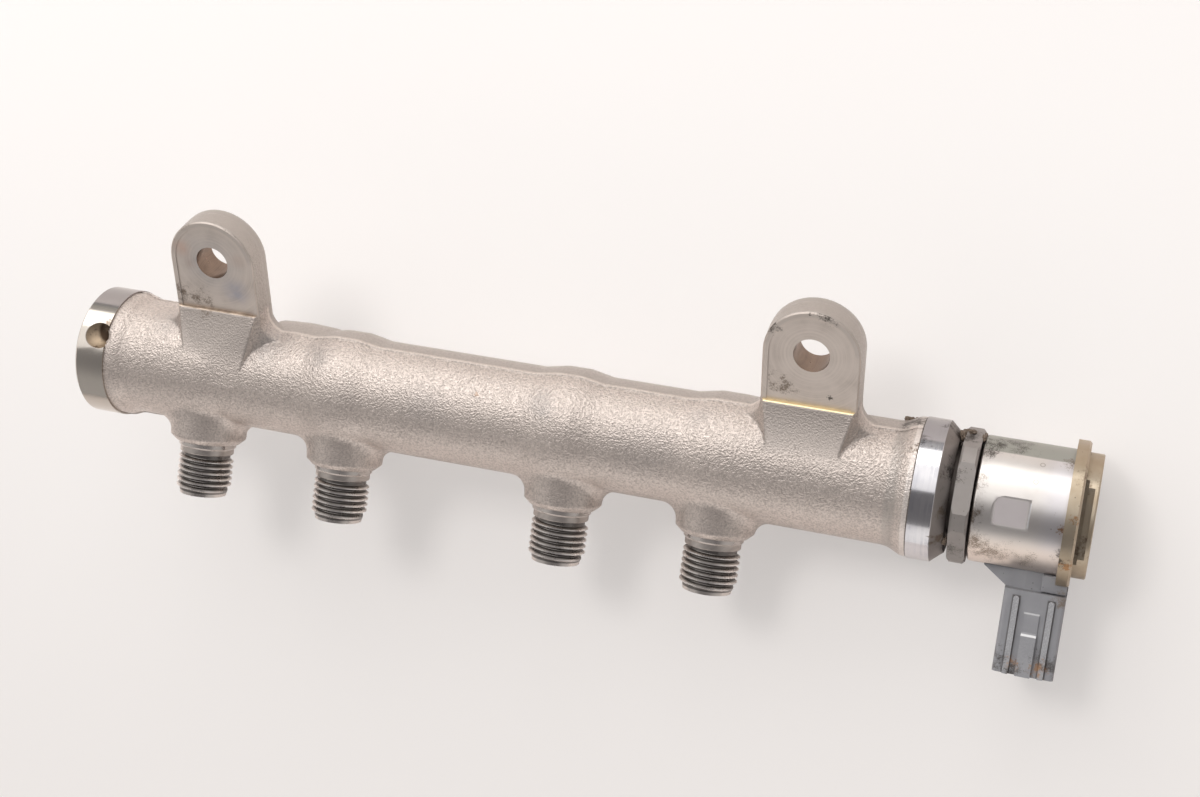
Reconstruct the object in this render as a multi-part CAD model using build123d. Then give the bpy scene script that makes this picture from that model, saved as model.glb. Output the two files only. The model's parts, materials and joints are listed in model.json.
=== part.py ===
from build123d import *
import math
import os

# Diesel common rail: one forged and machined body with four outlets, an inlet and
# two mounting lugs, and an electric pressure valve screwed into its right-hand end.
# Millimetres. X runs along the bore from the sensor-port face, Z points away from
# the outlets, and -Y is the side the lugs lean towards.

# ---- forged body -------------------------------------------------------------
body_d = 27.4
body_end_d = 29.2
swell_d = 29.6
swell_length = 17.0
swell_blend = 9.0
ridge_height = 0.25
ridge_width = 1.3
end_ridge_lean = -3.0
end_step_x1 = 36.0
end_step_run = 5.0

# ---- machined ends -----------------------------------------------------------
left_collar_d = 32.5
left_collar_length = 8.1
left_collar_chamfer = 0.7
left_root_d = 31.4
left_root_run = 2.2
left_root_slope = 2.4
right_collar_d = 33.0
right_collar_start = 212.3
right_collar_length = 5.2
right_cone_length = 2.9
right_cone_end_d = 27.8
lip_length = 1.5
lip_run = 3.4
lip_d = 32.6
forging_soft = 6.0
rail_end = right_collar_start + right_collar_length + right_cone_length

# ---- locating spot on the left collar ------------------------------------------
spot_x = 6.0
spot_d = 7.4
spot_angle = 19.0
spot_depth = 1.65

# ---- bores -------------------------------------------------------------------
main_bore_d = 10.0
sensor_port_d = 16.4
sensor_port_depth = 15.0
sensor_seat_depth = 19.5
sensor_seat_d = 12.6
sensor_mouth_d = 17.6
chamber_d = 16.0
chamber_start = 199.6
valve_thread_d = 18.0
valve_thread_start = 206.6
ring_counterbore_d = 19.3
ring_counterbore_depth = 2.4

# ---- threaded outlets and inlet -------------------------------------------------
outlet_x1 = 31.2
outlet_pitch_outer = 38.4
outlet_pitch_inner = 58.4
outlet_xs = [
    outlet_x1,
    outlet_x1 + outlet_pitch_outer,
    outlet_x1 + outlet_pitch_outer + outlet_pitch_inner,
    outlet_x1 + 2 * outlet_pitch_outer + outlet_pitch_inner,
]
stub_thread_d = 13.86
stub_neck_d = 14.5
stub_neck_length = 1.1
stub_relief_d = 12.1
stub_relief_length = 0.5
stub_tip_chamfer = 1.05
boss_d = 18.9
boss_draft = 4.0
boss_end = 19.4
boss_edge = 1.3
boss_blend = 4.0
boss_blend_room = 0.25
stub_end = 33.3
cone_mouth_d = 8.6
cone_angle = 60.0
passage_d = 3.0
throttle_d = 0.9
throttle_length = 3.0
inlet_x = 55.6
inlet_end = 33.3
inlet_swell_length = 19.0
inlet_swell_r = 13.9
inlet_swell_shift = (1.15, 0.95)
inlet_swell_soft = 25.0

# ---- return port behind the valve nose -------------------------------------------
return_x = 203.2
return_boss_d = 20.0
return_boss_end = 20.5
return_thread_d = 12.4
return_thread_depth = 10.0
return_passage_d = 5.0

# ---- mounting lugs ------------------------------------------------------------
lug_x1 = 37.2
lug_pitch = 149.2
lug_xs = [lug_x1, lug_x1 + lug_pitch]
lug_lean = 26.0
lug_width = 22.6
lug_hole_height = 33.3
lug_hole_d = 8.4
lug_machined_front = 4.35
lug_back = 3.2
lug_draft = 2.0
lug_edge = 0.3
lug_back_round = 1.2
ledge_height = 20.3
root_front_inset = 0.05
root_front_y = body_d / 2 - root_front_inset
root_low_z = -3.0
root_blend = 5.0
root_facet_width = 20.8
root_facet_taper = 11.0
flank_r = 9.0
flank_depth = 4.8
ledge_round = 0.6
rim_width = 1.5
rim_step = 0.25

# ---- valve body -----------------------------------------------------------------
nose_d = 13.0
nose_start = chamber_start
nose_end = 206.9
nose_recess_d = 9.44
nose_recess = 0.8
thread_clearance = 0.05
thread_male_start = 207.4
undercut_d = 15.8
undercut_start = 217.4
washer_d = 23.4
washer_t = 1.0
hex_start = rail_end + washer_t
hex_length = 4.0
hex_af = 29.0
hex_corner_d = 31.3
hex_turn = 14.3
hex_chamfer = 0.5
tube_od = 14.0
tube_end = 233.0
tube_bore_d = 11.2
tube_bore_start = 226.0
tube_fit = 0.04
hex_end = hex_start + hex_length

# ---- valve internals ------------------------------------------------------------
seat_od = 7.0
seat_start = nose_start + nose_recess
seat_end = 204.6
orifice_d = 0.9
seat_lead_d = 3.0
seat_lead_length = 1.6
seat_cone_end_d = 3.3
ball_d = 2.6
ball_gap = 0.06
ball_chamber_d = 4.6
spill_d = 1.8
spill_x = 205.8
bush_od = 8.0
bush_start = 212.0
bush_end = 222.5
pin_d = 3.0
pin_fit = 0.03
pin_tip_d = 2.0
pin_tip_length = 2.2
pin_cup_depth = 0.2
armature_od = 10.6
armature_start = 227.2
armature_length = 5.4
armature_slot_w = 1.2
valve_lift = 0.25
stop_gap = 0.4
stop_t = 0.4
stop_id = 6.0
spring_wire_d = 0.6
spring_mean_d = 4.0
spring_turns = 4
spring_pocket_d = 5.4
spring_pocket_depth = 5.1
disc_t = 0.8
sleeve_length = 3.0
core_spigot_fit = 0.04

# ---- magnet ---------------------------------------------------------------------
can_od = 29.1
can_wall = 1.5
can_gap = 0.5
can_start = hex_end + can_gap
can_end = 246.0
can_edge = 0.6
flat_x0 = 230.0
flat_x1 = 238.4
flat_height = 7.2
flat_depth = 0.46
flat_round = 3.0
bobbin_wall = 0.9
bobbin_flange_t = 1.0
bobbin_fit = 0.1
coil_room = 1.25
plate_start = can_end
plate_spigot = 1.2
bobbin_room = 0.1
plate_d = 33.6
plate_t = 3.0
plate_edge = 0.5
cap_start = plate_start + plate_t
cap_t = 3.2
cap_d = 28.6
cap_edge = 0.4
cap_flats = 23.6
cap_rim = 1.0
cap_groove = 0.8
cap_groove_depth = 1.2

# ---- connector --------------------------------------------------------------------
conn_x = 242.1
conn_width = 13.7
conn_depth = 13.0
conn_left_top = -18.2
conn_right_top = -17.4
conn_bottom = -37.6
conn_wall = 1.5
conn_floor = -24.5
conn_edge = 1.0
neck_x0 = 229.8
neck_x1 = 244.3
neck_depth = 9.0
neck_flat_x0 = 239.5
neck_flat_x1 = 243.4
neck_side_depth = 5.2
neck_root = -(can_od / 2 - can_wall)
window_clear = 0.05
guide_rib_x = 3.9
guide_rib_w = 1.3
guide_rib_h = 0.8
guide_rib_top = -19.5
latch_width = 3.4
latch_top = -23.0
latch_step = -27.4
latch_step_run = 0.8
latch_low = 0.4
latch_height = 1.1
pin_blade_w = 1.5
pin_blade_t = 0.8
pin_pitch = 5.0
pin_blade_top = -20.5
pin_blade_end = -31.5

# ---- seals ------------------------------------------------------------------------
core_ring_section = 1.4
filter_d = 9.4
filter_wall = 0.4
filter_length = 9.0
filter_slot_w = 1.0
filter_slot_length = 6.0

# ---- cutters ------------------------------------------------------------------------
through = 60.0


def disc(x0, x1, od, hole=0.0):
    """Round bar along X from x0 to x1, with an optional through hole."""
    face = Circle(od / 2)
    if hole > 0:
        face -= Circle(hole / 2)
    return extrude(Plane.YZ.offset(x0) * face, x1 - x0)


def turned(points):
    """Solid of revolution about X from (x, radius) corners."""
    return revolve(make_face(Polyline(*points, close=True)), Axis.X, 360)


def port_frame(direction, x):
    """Location that lays a solid turned about X along a port direction."""
    plane = Plane(origin=(x, 0, 0), x_dir=direction, z_dir=(1, 0, 0))
    return plane.location


def turned_port(direction, x, points):
    """Solid of revolution about a port axis from (distance, radius) corners."""
    return port_frame(direction, x) * turned(points)


def lug_vectors():
    """Unit vectors up the lugs and along their bolt holes, away from the front."""
    lean = math.radians(lug_lean)
    up = Vector(0, -math.sin(lean), math.cos(lean))
    away = Vector(0, math.cos(lean), math.sin(lean))
    return up, away


def lug_point(x, height, depth):
    """Point in a lug by height up it and depth along its bolt hole."""
    up, away = lug_vectors()
    return Vector(x, 0, 0) + up * height + away * depth


def lug_front_plane(x, depth):
    """Plane across a lug, facing its front, local y up the lug."""
    away = lug_vectors()[1]
    return Plane(origin=lug_point(x, 0, depth), x_dir=(1, 0, 0), z_dir=-away)


def lug_back_plane(x, depth):
    """Plane across a lug, facing its back, local y down the lug."""
    away = lug_vectors()[1]
    return Plane(origin=lug_point(x, 0, depth), x_dir=(1, 0, 0), z_dir=away)


# ---- rail body ---------------------------------------------------------------------
def swelling(x, base_r, top_r):
    """Four corners of one swelling in the half profile."""
    half = swell_length / 2
    flat = half - swell_blend / 2 - 1.2
    return [(x - half, base_r), (x - flat, top_r), (x + flat, top_r), (x + half, base_r)]


def forging_corners(extra):
    """Corners of the raw forging's half profile, grown by extra."""
    mid = body_d / 2 + extra
    end = body_end_d / 2 + extra
    root = left_root_d / 2 + extra
    pts = [(left_collar_length, root)]
    pts.append((left_collar_length + left_root_run, root))
    pts.append((left_collar_length + left_root_run + left_root_slope, end))
    pts.append((end_step_x1 - end_step_run / 2, end))
    pts.append((end_step_x1 + end_step_run / 2, mid))
    for x in outlet_xs[1:]:
        pts.extend(swelling(x, mid, swell_d / 2 + extra))
    pts[-1] = (outlet_xs[-1] + swell_length / 2, end)
    pts.append((right_collar_start - lip_length - lip_run, end))
    pts.append((right_collar_start - lip_length, lip_d / 2 + extra))
    pts.append((right_collar_start, lip_d / 2 + extra))
    return pts


def soft_corner(before, corner, after, radius):
    """Ends and middle of the arc that rounds one corner of an outline."""
    a = (before - corner).normalized()
    b = (after - corner).normalized()
    half = math.acos(max(-1.0, min(1.0, a.dot(b)))) / 2
    room = 0.45 * min((before - corner).length, (after - corner).length)
    reach = min(radius / math.tan(half), room)
    radius = reach * math.tan(half)
    middle = corner + (a + b).normalized() * (radius / math.sin(half) - radius)
    return corner + a * reach, middle, corner + b * reach


def soft_face(points, radius):
    """Face under an open outline down to the X axis, its corners rounded."""
    pts = [Vector(x, r, 0) for x, r in points]
    edges = []
    last = pts[0]
    for before, corner, after in zip(pts, pts[1:], pts[2:]):
        start, middle, end = soft_corner(before, corner, after, radius)
        edges.append(Edge.make_line(last, start))
        edges.append(Edge.make_three_point_arc(start, middle, end))
        last = end
    edges.append(Edge.make_line(last, pts[-1]))
    foot_end = Vector(pts[-1].X, 0, 0)
    foot_start = Vector(pts[0].X, 0, 0)
    edges.append(Edge.make_line(pts[-1], foot_end))
    edges.append(Edge.make_line(foot_end, foot_start))
    edges.append(Edge.make_line(foot_start, pts[0]))
    return make_face(edges)


def forging(extra=0.0):
    """Turned-looking core of the forging, its corners softened."""
    return revolve(soft_face(forging_corners(extra), forging_soft), Axis.X, 360)


def inlet_swelling():
    """Ring round the inlet root, set off towards the back so it fades at the front."""
    half = inlet_swell_length / 2
    low = body_d / 2 - 1.5
    base = body_d / 2 - 0.2
    pts = [(inlet_x - half, low), (inlet_x - half + 2, base), (inlet_x, inlet_swell_r)]
    pts = pts + [(inlet_x + half - 2, base), (inlet_x + half, low)]
    ring = revolve(soft_face(pts, inlet_swell_soft), Axis.X, 360)
    return Pos(0, inlet_swell_shift[0], inlet_swell_shift[1]) * ring


def ridge_slab(x0, x1, lean):
    """Thin slab through the bore axis that leans towards -Y by an angle."""
    turn = Rot(lean, 0, 0)
    return turn * Pos((x0 + x1) / 2, 0, 0) * Box(x1 - x0, ridge_width, through)


def parting_ridge():
    """Thin ridge left where the two dies met; left of the first lug it stands upright."""
    turn_x = lug_xs[0] - lug_width / 2
    slabs = ridge_slab(left_collar_length, turn_x, end_ridge_lean)
    slabs += ridge_slab(turn_x, right_collar_start, lug_lean)
    return forging(ridge_height) & slabs


def boss(direction, x, end, d, draft):
    """Forged boss round a port, tapering outward to its end."""
    grow = math.tan(math.radians(draft)) * end
    r = d / 2
    pts = [(0, 0), (0, r + grow), (end - boss_edge, r + grow * boss_edge / end)]
    pts = pts + [(end, r - boss_edge), (end, 0)]
    return turned_port(direction, x, pts)


def stub(direction, x, end):
    """Machined neck and thread cylinder of one outlet."""
    neck = stub_neck_d / 2
    relief = stub_relief_d / 2
    thread = stub_thread_d / 2
    a = boss_end + stub_neck_length
    b = a + (neck - relief)
    c = b + stub_relief_length
    pts = [(boss_end - 2, 0), (boss_end - 2, neck), (a, neck), (b, relief), (c, relief)]
    pts = pts + [(c + thread - relief, thread), (end - stub_tip_chamfer, thread)]
    pts = pts + [(end, thread - stub_tip_chamfer), (end, 0)]
    return turned_port(direction, x, pts)


def stub_bore(direction, x, end):
    """Cone seat, passage and throttle from a stub's mouth to the main bore."""
    mouth = cone_mouth_d / 2
    passage = passage_d / 2
    throttle = throttle_d / 2
    cone = (mouth - passage) / math.tan(math.radians(cone_angle / 2))
    throttle_top = main_bore_d / 2 + throttle_length
    pts = [(0, 0), (0, throttle), (throttle_top, throttle), (throttle_top, passage)]
    pts = pts + [(end - cone, passage), (end, mouth), (end + 1, mouth), (end + 1, 0)]
    return turned_port(direction, x, pts)


def return_bore():
    """Threaded return port with its passage into the spill chamber."""
    thread = return_thread_d / 2
    passage = return_passage_d / 2
    low = return_boss_end - return_thread_depth
    pts = [(chamber_d / 2 - 2, 0), (chamber_d / 2 - 2, passage), (low, passage), (low, thread)]
    pts = pts + [(return_boss_end - 1, thread), (return_boss_end + 1, thread + 2)]
    pts = pts + [(return_boss_end + 1, 0)]
    return turned_port((0, 1, 0), return_x, pts)


def lug_outline(inset=0.0):
    """D-shaped lug outline, local y up the lug."""
    half = lug_width / 2 - inset
    straight = Pos(0, lug_hole_height / 2) * Rectangle(2 * half, lug_hole_height)
    return straight + Pos(0, lug_hole_height) * Circle(half)


def lug_plate(x):
    """Upper part of a lug: drafted both ways, its back rounded and its front faced."""
    rim = lug_machined_front + rim_step
    front = extrude(lug_front_plane(x, 0) * lug_outline(), rim, taper=lug_draft)
    away = lug_vectors()[1]
    face = front.faces().sort_by(Axis(origin=(0, 0, 0), direction=-away))[-1]
    front = chamfer(face.edges(), lug_edge)
    back_outline = mirror(lug_outline(), about=Plane.XZ)
    back = extrude(lug_back_plane(x, 0) * back_outline, lug_back, taper=lug_draft)
    face = back.faces().sort_by(Axis(origin=(0, 0, 0), direction=away))[-1]
    back = fillet(face.edges(), lug_back_round)
    facing = extrude(lug_front_plane(x, -lug_machined_front) * lug_outline(rim_width), through)
    return front + back - facing


def ledge_front():
    """Front edge of the ledge where the machined lug face meets the upright root."""
    slope = math.radians(lug_lean)
    depth = -(root_front_y - ledge_height * math.sin(slope)) / math.cos(slope)
    return lug_point(0, ledge_height, depth)


def lug_section():
    """Side view of a lug root as (y, z) corners: an upright front that meets the body."""
    back = lug_back - lug_back_round
    ledge_back = lug_point(0, ledge_height, back)
    low_back = lug_point(0, main_bore_d / 2, back)
    pts = [(-root_front_y, root_low_z), (-root_front_y, ledge_front().Z)]
    return pts + [(ledge_back.Y, ledge_back.Z), (low_back.Y, low_back.Z), (0, root_low_z)]


def lug_root(x):
    """Block below the machined ledge, its back blended into the body."""
    half = lug_width / 2
    block = make_face(Polyline(*lug_section(), close=True))
    core = body_d / 2 - 0.1
    side = block + Circle(core)
    corner = side.vertices().filter_by(lambda v: v.Y > main_bore_d).sort_by(Axis.X)[-1]
    side = fillet(corner, root_blend)
    root = extrude(Plane.YZ.offset(x - half) * side, lug_width)
    front = ledge_front()
    lip = root.edges().filter_by(Axis.X).sort_by_distance((x, front.Y, front.Z))[0]
    return fillet(lip, ledge_round)


def lug_flare(x, side, radius):
    """Concave blend from one side of a lug down to the body, as wide as the lug is thick."""
    edge = x + side * lug_width / 2
    foot = edge + side * root_blend
    top = radius + root_blend
    arc = root_blend * (1 - math.sqrt(0.5))
    edges = [Edge.make_three_point_arc((foot, radius), (edge + side * arc, radius + arc), (edge, top))]
    corners = [(edge, top), (edge - side, top), (edge - side, radius - 1), (foot, radius - 1), (foot, radius)]
    edges.extend(Polyline(*corners).edges())
    ring = revolve(make_face(edges), Axis.X, 360)
    block = make_face(Polyline(*lug_section(), close=True))
    start = min(edge - side, foot) - 1
    return ring & extrude(Plane.YZ.offset(start) * block, root_blend + 3)


def flank_cutter(x):
    """Cutter that hollows the right flank of a lug root, leaving a tapering front facet."""
    rise = flank_r - flank_depth
    reach = math.sqrt(flank_r**2 - rise**2)
    half = math.asin(reach / flank_r) / 2
    middle = (reach - flank_r * math.sin(half), rise - flank_r * math.cos(half))
    low = (reach, -flank_depth)
    outer = reach + root_blend + lug_width / 2
    edges = [Edge.make_three_point_arc((0, 0), middle, low)]
    edges.extend(Polyline(low, (outer, -flank_depth), (outer, rise), (0, rise), (0, 0)).edges())
    turn = math.radians(root_facet_taper)
    along = (-math.sin(turn), 0, -math.cos(turn))
    across = (math.cos(turn), 0, -math.sin(turn))
    start = (x + root_facet_width / 2, -root_front_y, ledge_front().Z)
    plane = Plane(origin=start, x_dir=across, z_dir=along)
    return extrude(plane.offset(-root_blend) * make_face(edges), through / 2)


def lug_foot(x, left_radius, right_radius):
    """Root block and side blends of a lug, with both flanks hollowed."""
    foot = lug_root(x)
    foot += lug_flare(x, -1, left_radius)
    foot += lug_flare(x, 1, right_radius)
    right_flank = flank_cutter(x)
    return foot - right_flank - mirror(right_flank, about=Plane.YZ.offset(x))


def lug(x, left_radius, right_radius):
    """One mounting lug with its root."""
    return lug_plate(x) + lug_foot(x, left_radius, right_radius)


def lug_hole(x):
    """Bolt hole through a lug."""
    across = Pos(0, lug_hole_height) * Circle(lug_hole_d / 2)
    return extrude(lug_front_plane(x, through / 2) * across, through)


def locating_spot():
    """Shallow dished spot cut into the left collar."""
    turn = math.radians(spot_angle)
    out = Vector(0, -math.cos(turn), math.sin(turn))
    ball = (spot_d**2 / 4 + spot_depth**2) / (2 * spot_depth)
    centre = Vector(spot_x, 0, 0) + out * (left_collar_d / 2 - spot_depth + ball)
    return Location(centre) * Sphere(ball)


def blended_boss(rail, direction, x, end):
    """Adds a port boss and rounds its foot into the body."""
    added = boss(direction, x, end, boss_d, boss_draft)
    joined = rail + added
    foot = new_edges(rail, added, combined=joined)
    room = (body_d - boss_d) / 2 - boss_blend_room
    return joined.fillet(min(boss_blend, room), foot)


def collars():
    """Machined collars at the two ends, the right one with its cone."""
    left = left_collar_d / 2
    right = right_collar_d / 2
    soft = left_collar_chamfer
    pts = [(0, 0), (0, left - soft), (soft, left), (left_collar_length, left), (left_collar_length, 0)]
    both = turned(pts)
    a = right_collar_start
    b = a + right_collar_length
    both += turned([(a, 0), (a, right), (b, right), (rail_end, right_cone_end_d / 2), (rail_end, 0)])
    return both


def bores():
    """Gun-drilled main bore with the sensor port and the valve port."""
    port = sensor_port_d / 2
    seat = sensor_seat_d / 2
    mouth = sensor_mouth_d / 2
    main = main_bore_d / 2
    chamber = chamber_d / 2
    thread = valve_thread_d / 2
    ring = ring_counterbore_d / 2
    ring_x = rail_end - ring_counterbore_depth
    seat_x = sensor_seat_depth
    pts = [(-1, 0), (-1, mouth), (0, mouth), (mouth - port, port), (sensor_port_depth, port)]
    pts = pts + [(sensor_port_depth, seat), (seat_x, seat), (seat_x + seat - main, main)]
    pts = pts + [(chamber_start, main), (chamber_start, chamber), (valve_thread_start, chamber)]
    pts = pts + [(valve_thread_start, thread), (ring_x - (ring - thread), thread), (ring_x, ring)]
    pts = pts + [(rail_end + 1, ring), (rail_end + 1, 0)]
    return turned(pts)


def raw_body():
    """The forging with its port bosses blended in, before machining."""
    rail = forging()
    for x in outlet_xs:
        rail = blended_boss(rail, (0, 0, -1), x, boss_end)
    rail = blended_boss(rail, (0, 1, 0), inlet_x, boss_end)
    rail += inlet_swelling()
    rail += parting_ridge()
    end = body_end_d / 2
    rail += lug(lug_xs[0], end, body_d / 2)
    rail += lug(lug_xs[1], end, end)
    rail += boss((0, 1, 0), return_x, return_boss_end, return_boss_d, boss_draft)
    return rail


def rail_body():
    """The forged rail with every machined feature, as one solid."""
    rail = raw_body() + collars()
    for x in outlet_xs:
        rail += stub((0, 0, -1), x, stub_end)
    rail += stub((0, 1, 0), inlet_x, inlet_end)
    rail -= locating_spot()
    for x in lug_xs:
        rail -= lug_hole(x)
    rail -= bores()
    for x in outlet_xs:
        rail -= stub_bore((0, 0, -1), x, stub_end)
    rail -= stub_bore((0, 1, 0), inlet_x, inlet_end)
    rail -= return_bore()
    return rail


# ---- pressure valve ------------------------------------------------------------------
def hex_nut():
    """Hexagon with turned corners."""
    outline = RegularPolygon(hex_af / 2, 6, major_radius=False, rotation=180 - hex_turn - 30)
    block = extrude(Plane.YZ.offset(hex_start) * outline, hex_length)
    corner = hex_corner_d / 2
    low = corner - hex_chamfer
    pts = [(hex_start, 0), (hex_start, low), (hex_start + hex_chamfer, corner)]
    pts = pts + [(hex_end - hex_chamfer, corner), (hex_end, low), (hex_end, 0)]
    return block & turned(pts)


def valve_body():
    """Screwed-in valve body: nose, thread, hexagon and armature tube in one piece."""
    nose = nose_d / 2
    thread = valve_thread_d / 2 - thread_clearance
    undercut = undercut_d / 2
    pts = [(nose_start, 0), (nose_start, nose), (nose_end, nose), (nose_end, thread - 0.5)]
    pts = pts + [(thread_male_start, thread), (undercut_start, thread)]
    pts = pts + [(undercut_start + 0.5, undercut), (hex_start + 1, undercut), (hex_start + 1, 0)]
    tube = disc(hex_start, tube_end, tube_od)
    body = turned(pts) + hex_nut() + tube
    return body - valve_bores()


def valve_bores():
    """Stepped bore of the valve body and its four spill holes."""
    recess = nose_recess_d / 2
    seat = seat_od / 2
    chamber = ball_chamber_d / 2
    bush = bush_od / 2
    tube = tube_bore_d / 2
    pts = [(nose_start - 1, 0), (nose_start - 1, recess), (seat_start, recess), (seat_start, seat)]
    pts = pts + [(seat_end, seat), (seat_end, chamber), (bush_start, chamber), (bush_start, bush)]
    pts = pts + [(tube_bore_start, bush), (tube_bore_start, tube), (tube_end + 1, tube)]
    cut = turned(pts + [(tube_end + 1, 0)])
    for axis in ((0, 1, 0), (0, 0, 1)):
        cut += Plane(origin=(spill_x, 0, 0), z_dir=axis) * Cylinder(spill_d / 2, nose_d + 4)
    return cut


def sealing_washer():
    """Flat ring between the rail end and the hexagon."""
    return disc(rail_end, hex_start, washer_d, undercut_d + 0.3)


def edge_filter():
    """Slotted cup that keeps chips off the valve seat."""
    outer = filter_d / 2
    inner = outer - filter_wall
    start = seat_start - filter_length
    cup = disc(start, seat_start, filter_d) - disc(start + filter_wall, seat_start, 2 * inner)
    middle = start + filter_length / 2
    slot = Pos(middle, 0, 0) * Box(filter_slot_length, filter_slot_w, filter_d + 2)
    for turn in (0, 45, 90, 135):
        cup -= Rot(turn, 0, 0) * slot
    return cup


def valve_seat():
    """Seat insert with its orifice and cone."""
    orifice = orifice_d / 2
    lead = seat_lead_d / 2
    cone = seat_cone_end_d / 2
    lead_x = seat_start + seat_lead_length
    pts = [(seat_start - 1, 0), (seat_start - 1, lead), (lead_x, lead), (lead_x, orifice)]
    pts = pts + [(seat_end - (cone - orifice), orifice), (seat_end, cone), (seat_end + 1, cone)]
    return disc(seat_start, seat_end, seat_od) - turned(pts + [(seat_end + 1, 0)])


def ball_centre():
    """Where the ball's centre lies with the valve shut, a film's gap off its 45 degree cone."""
    apex = seat_end - seat_cone_end_d / 2
    return apex + (ball_d / 2 + ball_gap) * math.sqrt(2)


def valve_ball():
    """Ball that shuts the orifice."""
    return Pos(ball_centre(), 0, 0) * Sphere(ball_d / 2)


def armature_pin():
    """Pin that carries the armature and bears on the ball with a cupped tip."""
    centre = ball_centre()
    ball = ball_d / 2
    rim_turn = math.acos(1 - pin_cup_depth / ball)
    rim = (centre + ball * math.cos(rim_turn), ball * math.sin(rim_turn))
    middle = (centre + ball * math.cos(rim_turn / 2), ball * math.sin(rim_turn / 2))
    bottom = (centre + ball, 0)
    end = armature_start + armature_length
    tip_end = rim[0] + pin_tip_length
    tip = pin_tip_d / 2
    bar = pin_d / 2
    pts = [bottom, (end, 0), (end, bar), (tip_end, bar), (tip_end, tip), (rim[0], tip), rim]
    edges = [Edge.make_three_point_arc(rim, middle, bottom)]
    edges.extend(Polyline(*pts).edges())
    return revolve(make_face(edges), Axis.X, 360)


def guide_bush():
    """Bush that guides the armature pin."""
    return disc(bush_start, bush_end, bush_od, pin_d + 2 * pin_fit)


def armature():
    """Iron armature with oil slots across its rim."""
    ring = disc(armature_start, armature_start + armature_length, armature_od, pin_d)
    middle = armature_start + armature_length / 2
    for side in (-1, 1):
        slot = Box(armature_length + 2, armature_slot_w * 2, armature_slot_w)
        ring -= Pos(middle, side * armature_od / 2, 0) * slot
    return ring


def stop_shim():
    """Non-magnetic ring that stops the armature short of the pole."""
    return disc(tube_end, tube_end + stop_gap, sleeve_bore() - 2 * core_spigot_fit, stop_id)


def sleeve_bore():
    """Bore of the isolating sleeve, the same as the armature tube's."""
    return tube_bore_d


def armature_spring():
    """Coil spring between the armature and the pole core."""
    start = armature_start + armature_length
    end = tube_end + stop_gap + spring_pocket_depth - disc_t
    wire = spring_wire_d / 2
    length = end - start - spring_wire_d
    coil = Helix(length / spring_turns, length, spring_mean_d / 2)
    path = Plane(origin=(start + wire, 0, 0), x_dir=(0, 1, 0), z_dir=(1, 0, 0)).location * coil
    section = Plane(origin=path @ 0, z_dir=path % 0) * Circle(wire)
    return sweep(section, path=path, is_frenet=True)


def spring_disc():
    """Shim behind the spring that sets its load."""
    end = tube_end + stop_gap + spring_pocket_depth
    return disc(end - disc_t, end, spring_pocket_d - 0.2)


def isolating_sleeve():
    """Non-magnetic sleeve between the armature tube and the pole core."""
    return disc(tube_end, tube_end + sleeve_length, tube_od, sleeve_bore())


def pole_core():
    """Fixed magnet core with its spring pocket."""
    start = tube_end + stop_gap
    shoulder = tube_end + sleeve_length
    core = disc(start, shoulder, sleeve_bore() - 2 * core_spigot_fit)
    core += disc(shoulder, cap_start, tube_od)
    return core - disc(start - 1, start + spring_pocket_depth, spring_pocket_d)


# ---- magnet --------------------------------------------------------------------------
def magnet_can():
    """Drawn steel can with a staked flat and a window for the connector neck."""
    inner = can_od - 2 * can_wall
    can = disc(can_start, can_end, can_od)
    rim = can.faces().sort_by(Axis.X)[0].edges()
    can = fillet(rim, can_edge)
    can -= disc(can_start + can_wall, can_end + 1, inner)
    can -= disc(can_start - 1, can_end, tube_od + 2 * tube_fit)
    can -= staked_flat()
    window = Box(2 * (can_end - neck_x0), neck_depth, can_od)
    can -= Pos(can_end, 0, -can_od / 2) * window
    return can


def staked_flat():
    """Cutter for the flat pressed into the can's side, rounded at its left end."""
    cutter = Box(flat_x1 - flat_x0, 2 * flat_depth, flat_height)
    left = cutter.edges().filter_by(Axis.Y).sort_by(Axis.X)[:2]
    return Pos((flat_x0 + flat_x1) / 2, -can_od / 2, 0) * fillet(left, flat_round)


def bobbin_end():
    """Right-hand end of the bobbin, just short of the end plate's spigot."""
    return plate_start - plate_spigot - bobbin_room


def coil_bobbin():
    """Moulded bobbin carrying the winding."""
    inner = tube_od + 2 * bobbin_fit
    start = can_start + can_wall
    flange = can_od - 2 * can_wall - 2 * bobbin_fit
    spool = disc(start, start + bobbin_flange_t, flange)
    spool += disc(bobbin_end() - bobbin_flange_t, bobbin_end(), flange)
    spool += disc(start, bobbin_end(), inner + 2 * bobbin_wall)
    return spool - disc(start - 1, bobbin_end() + 1, inner)


def coil_winding():
    """Copper winding as one ring."""
    core = tube_od + 2 * bobbin_fit + 2 * bobbin_wall
    outer = can_od - 2 * can_wall - 2 * coil_room
    start = can_start + can_wall + bobbin_flange_t
    return disc(start, bobbin_end() - bobbin_flange_t, outer, core)


def end_plate():
    """Iron plate that closes the can and carries the flux to the core."""
    spigot = can_od - 2 * can_wall - 2 * tube_fit
    pts = [(plate_start - plate_spigot, 0), (plate_start - plate_spigot, spigot / 2)]
    pts = pts + [(plate_start, spigot / 2), (plate_start, plate_d / 2)]
    pts = pts + [(cap_start - plate_edge, plate_d / 2), (cap_start, plate_d / 2 - plate_edge)]
    plate = turned(pts + [(cap_start, 0)])
    plate -= disc(plate_start - plate_spigot - 1, cap_start + 1, tube_od + 2 * tube_fit)
    ring_end = plate_start - plate_spigot + core_ring_section + 0.1
    return plate - disc(plate_start - plate_spigot - 1, ring_end, tube_od + 2 * core_ring_section)


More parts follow.
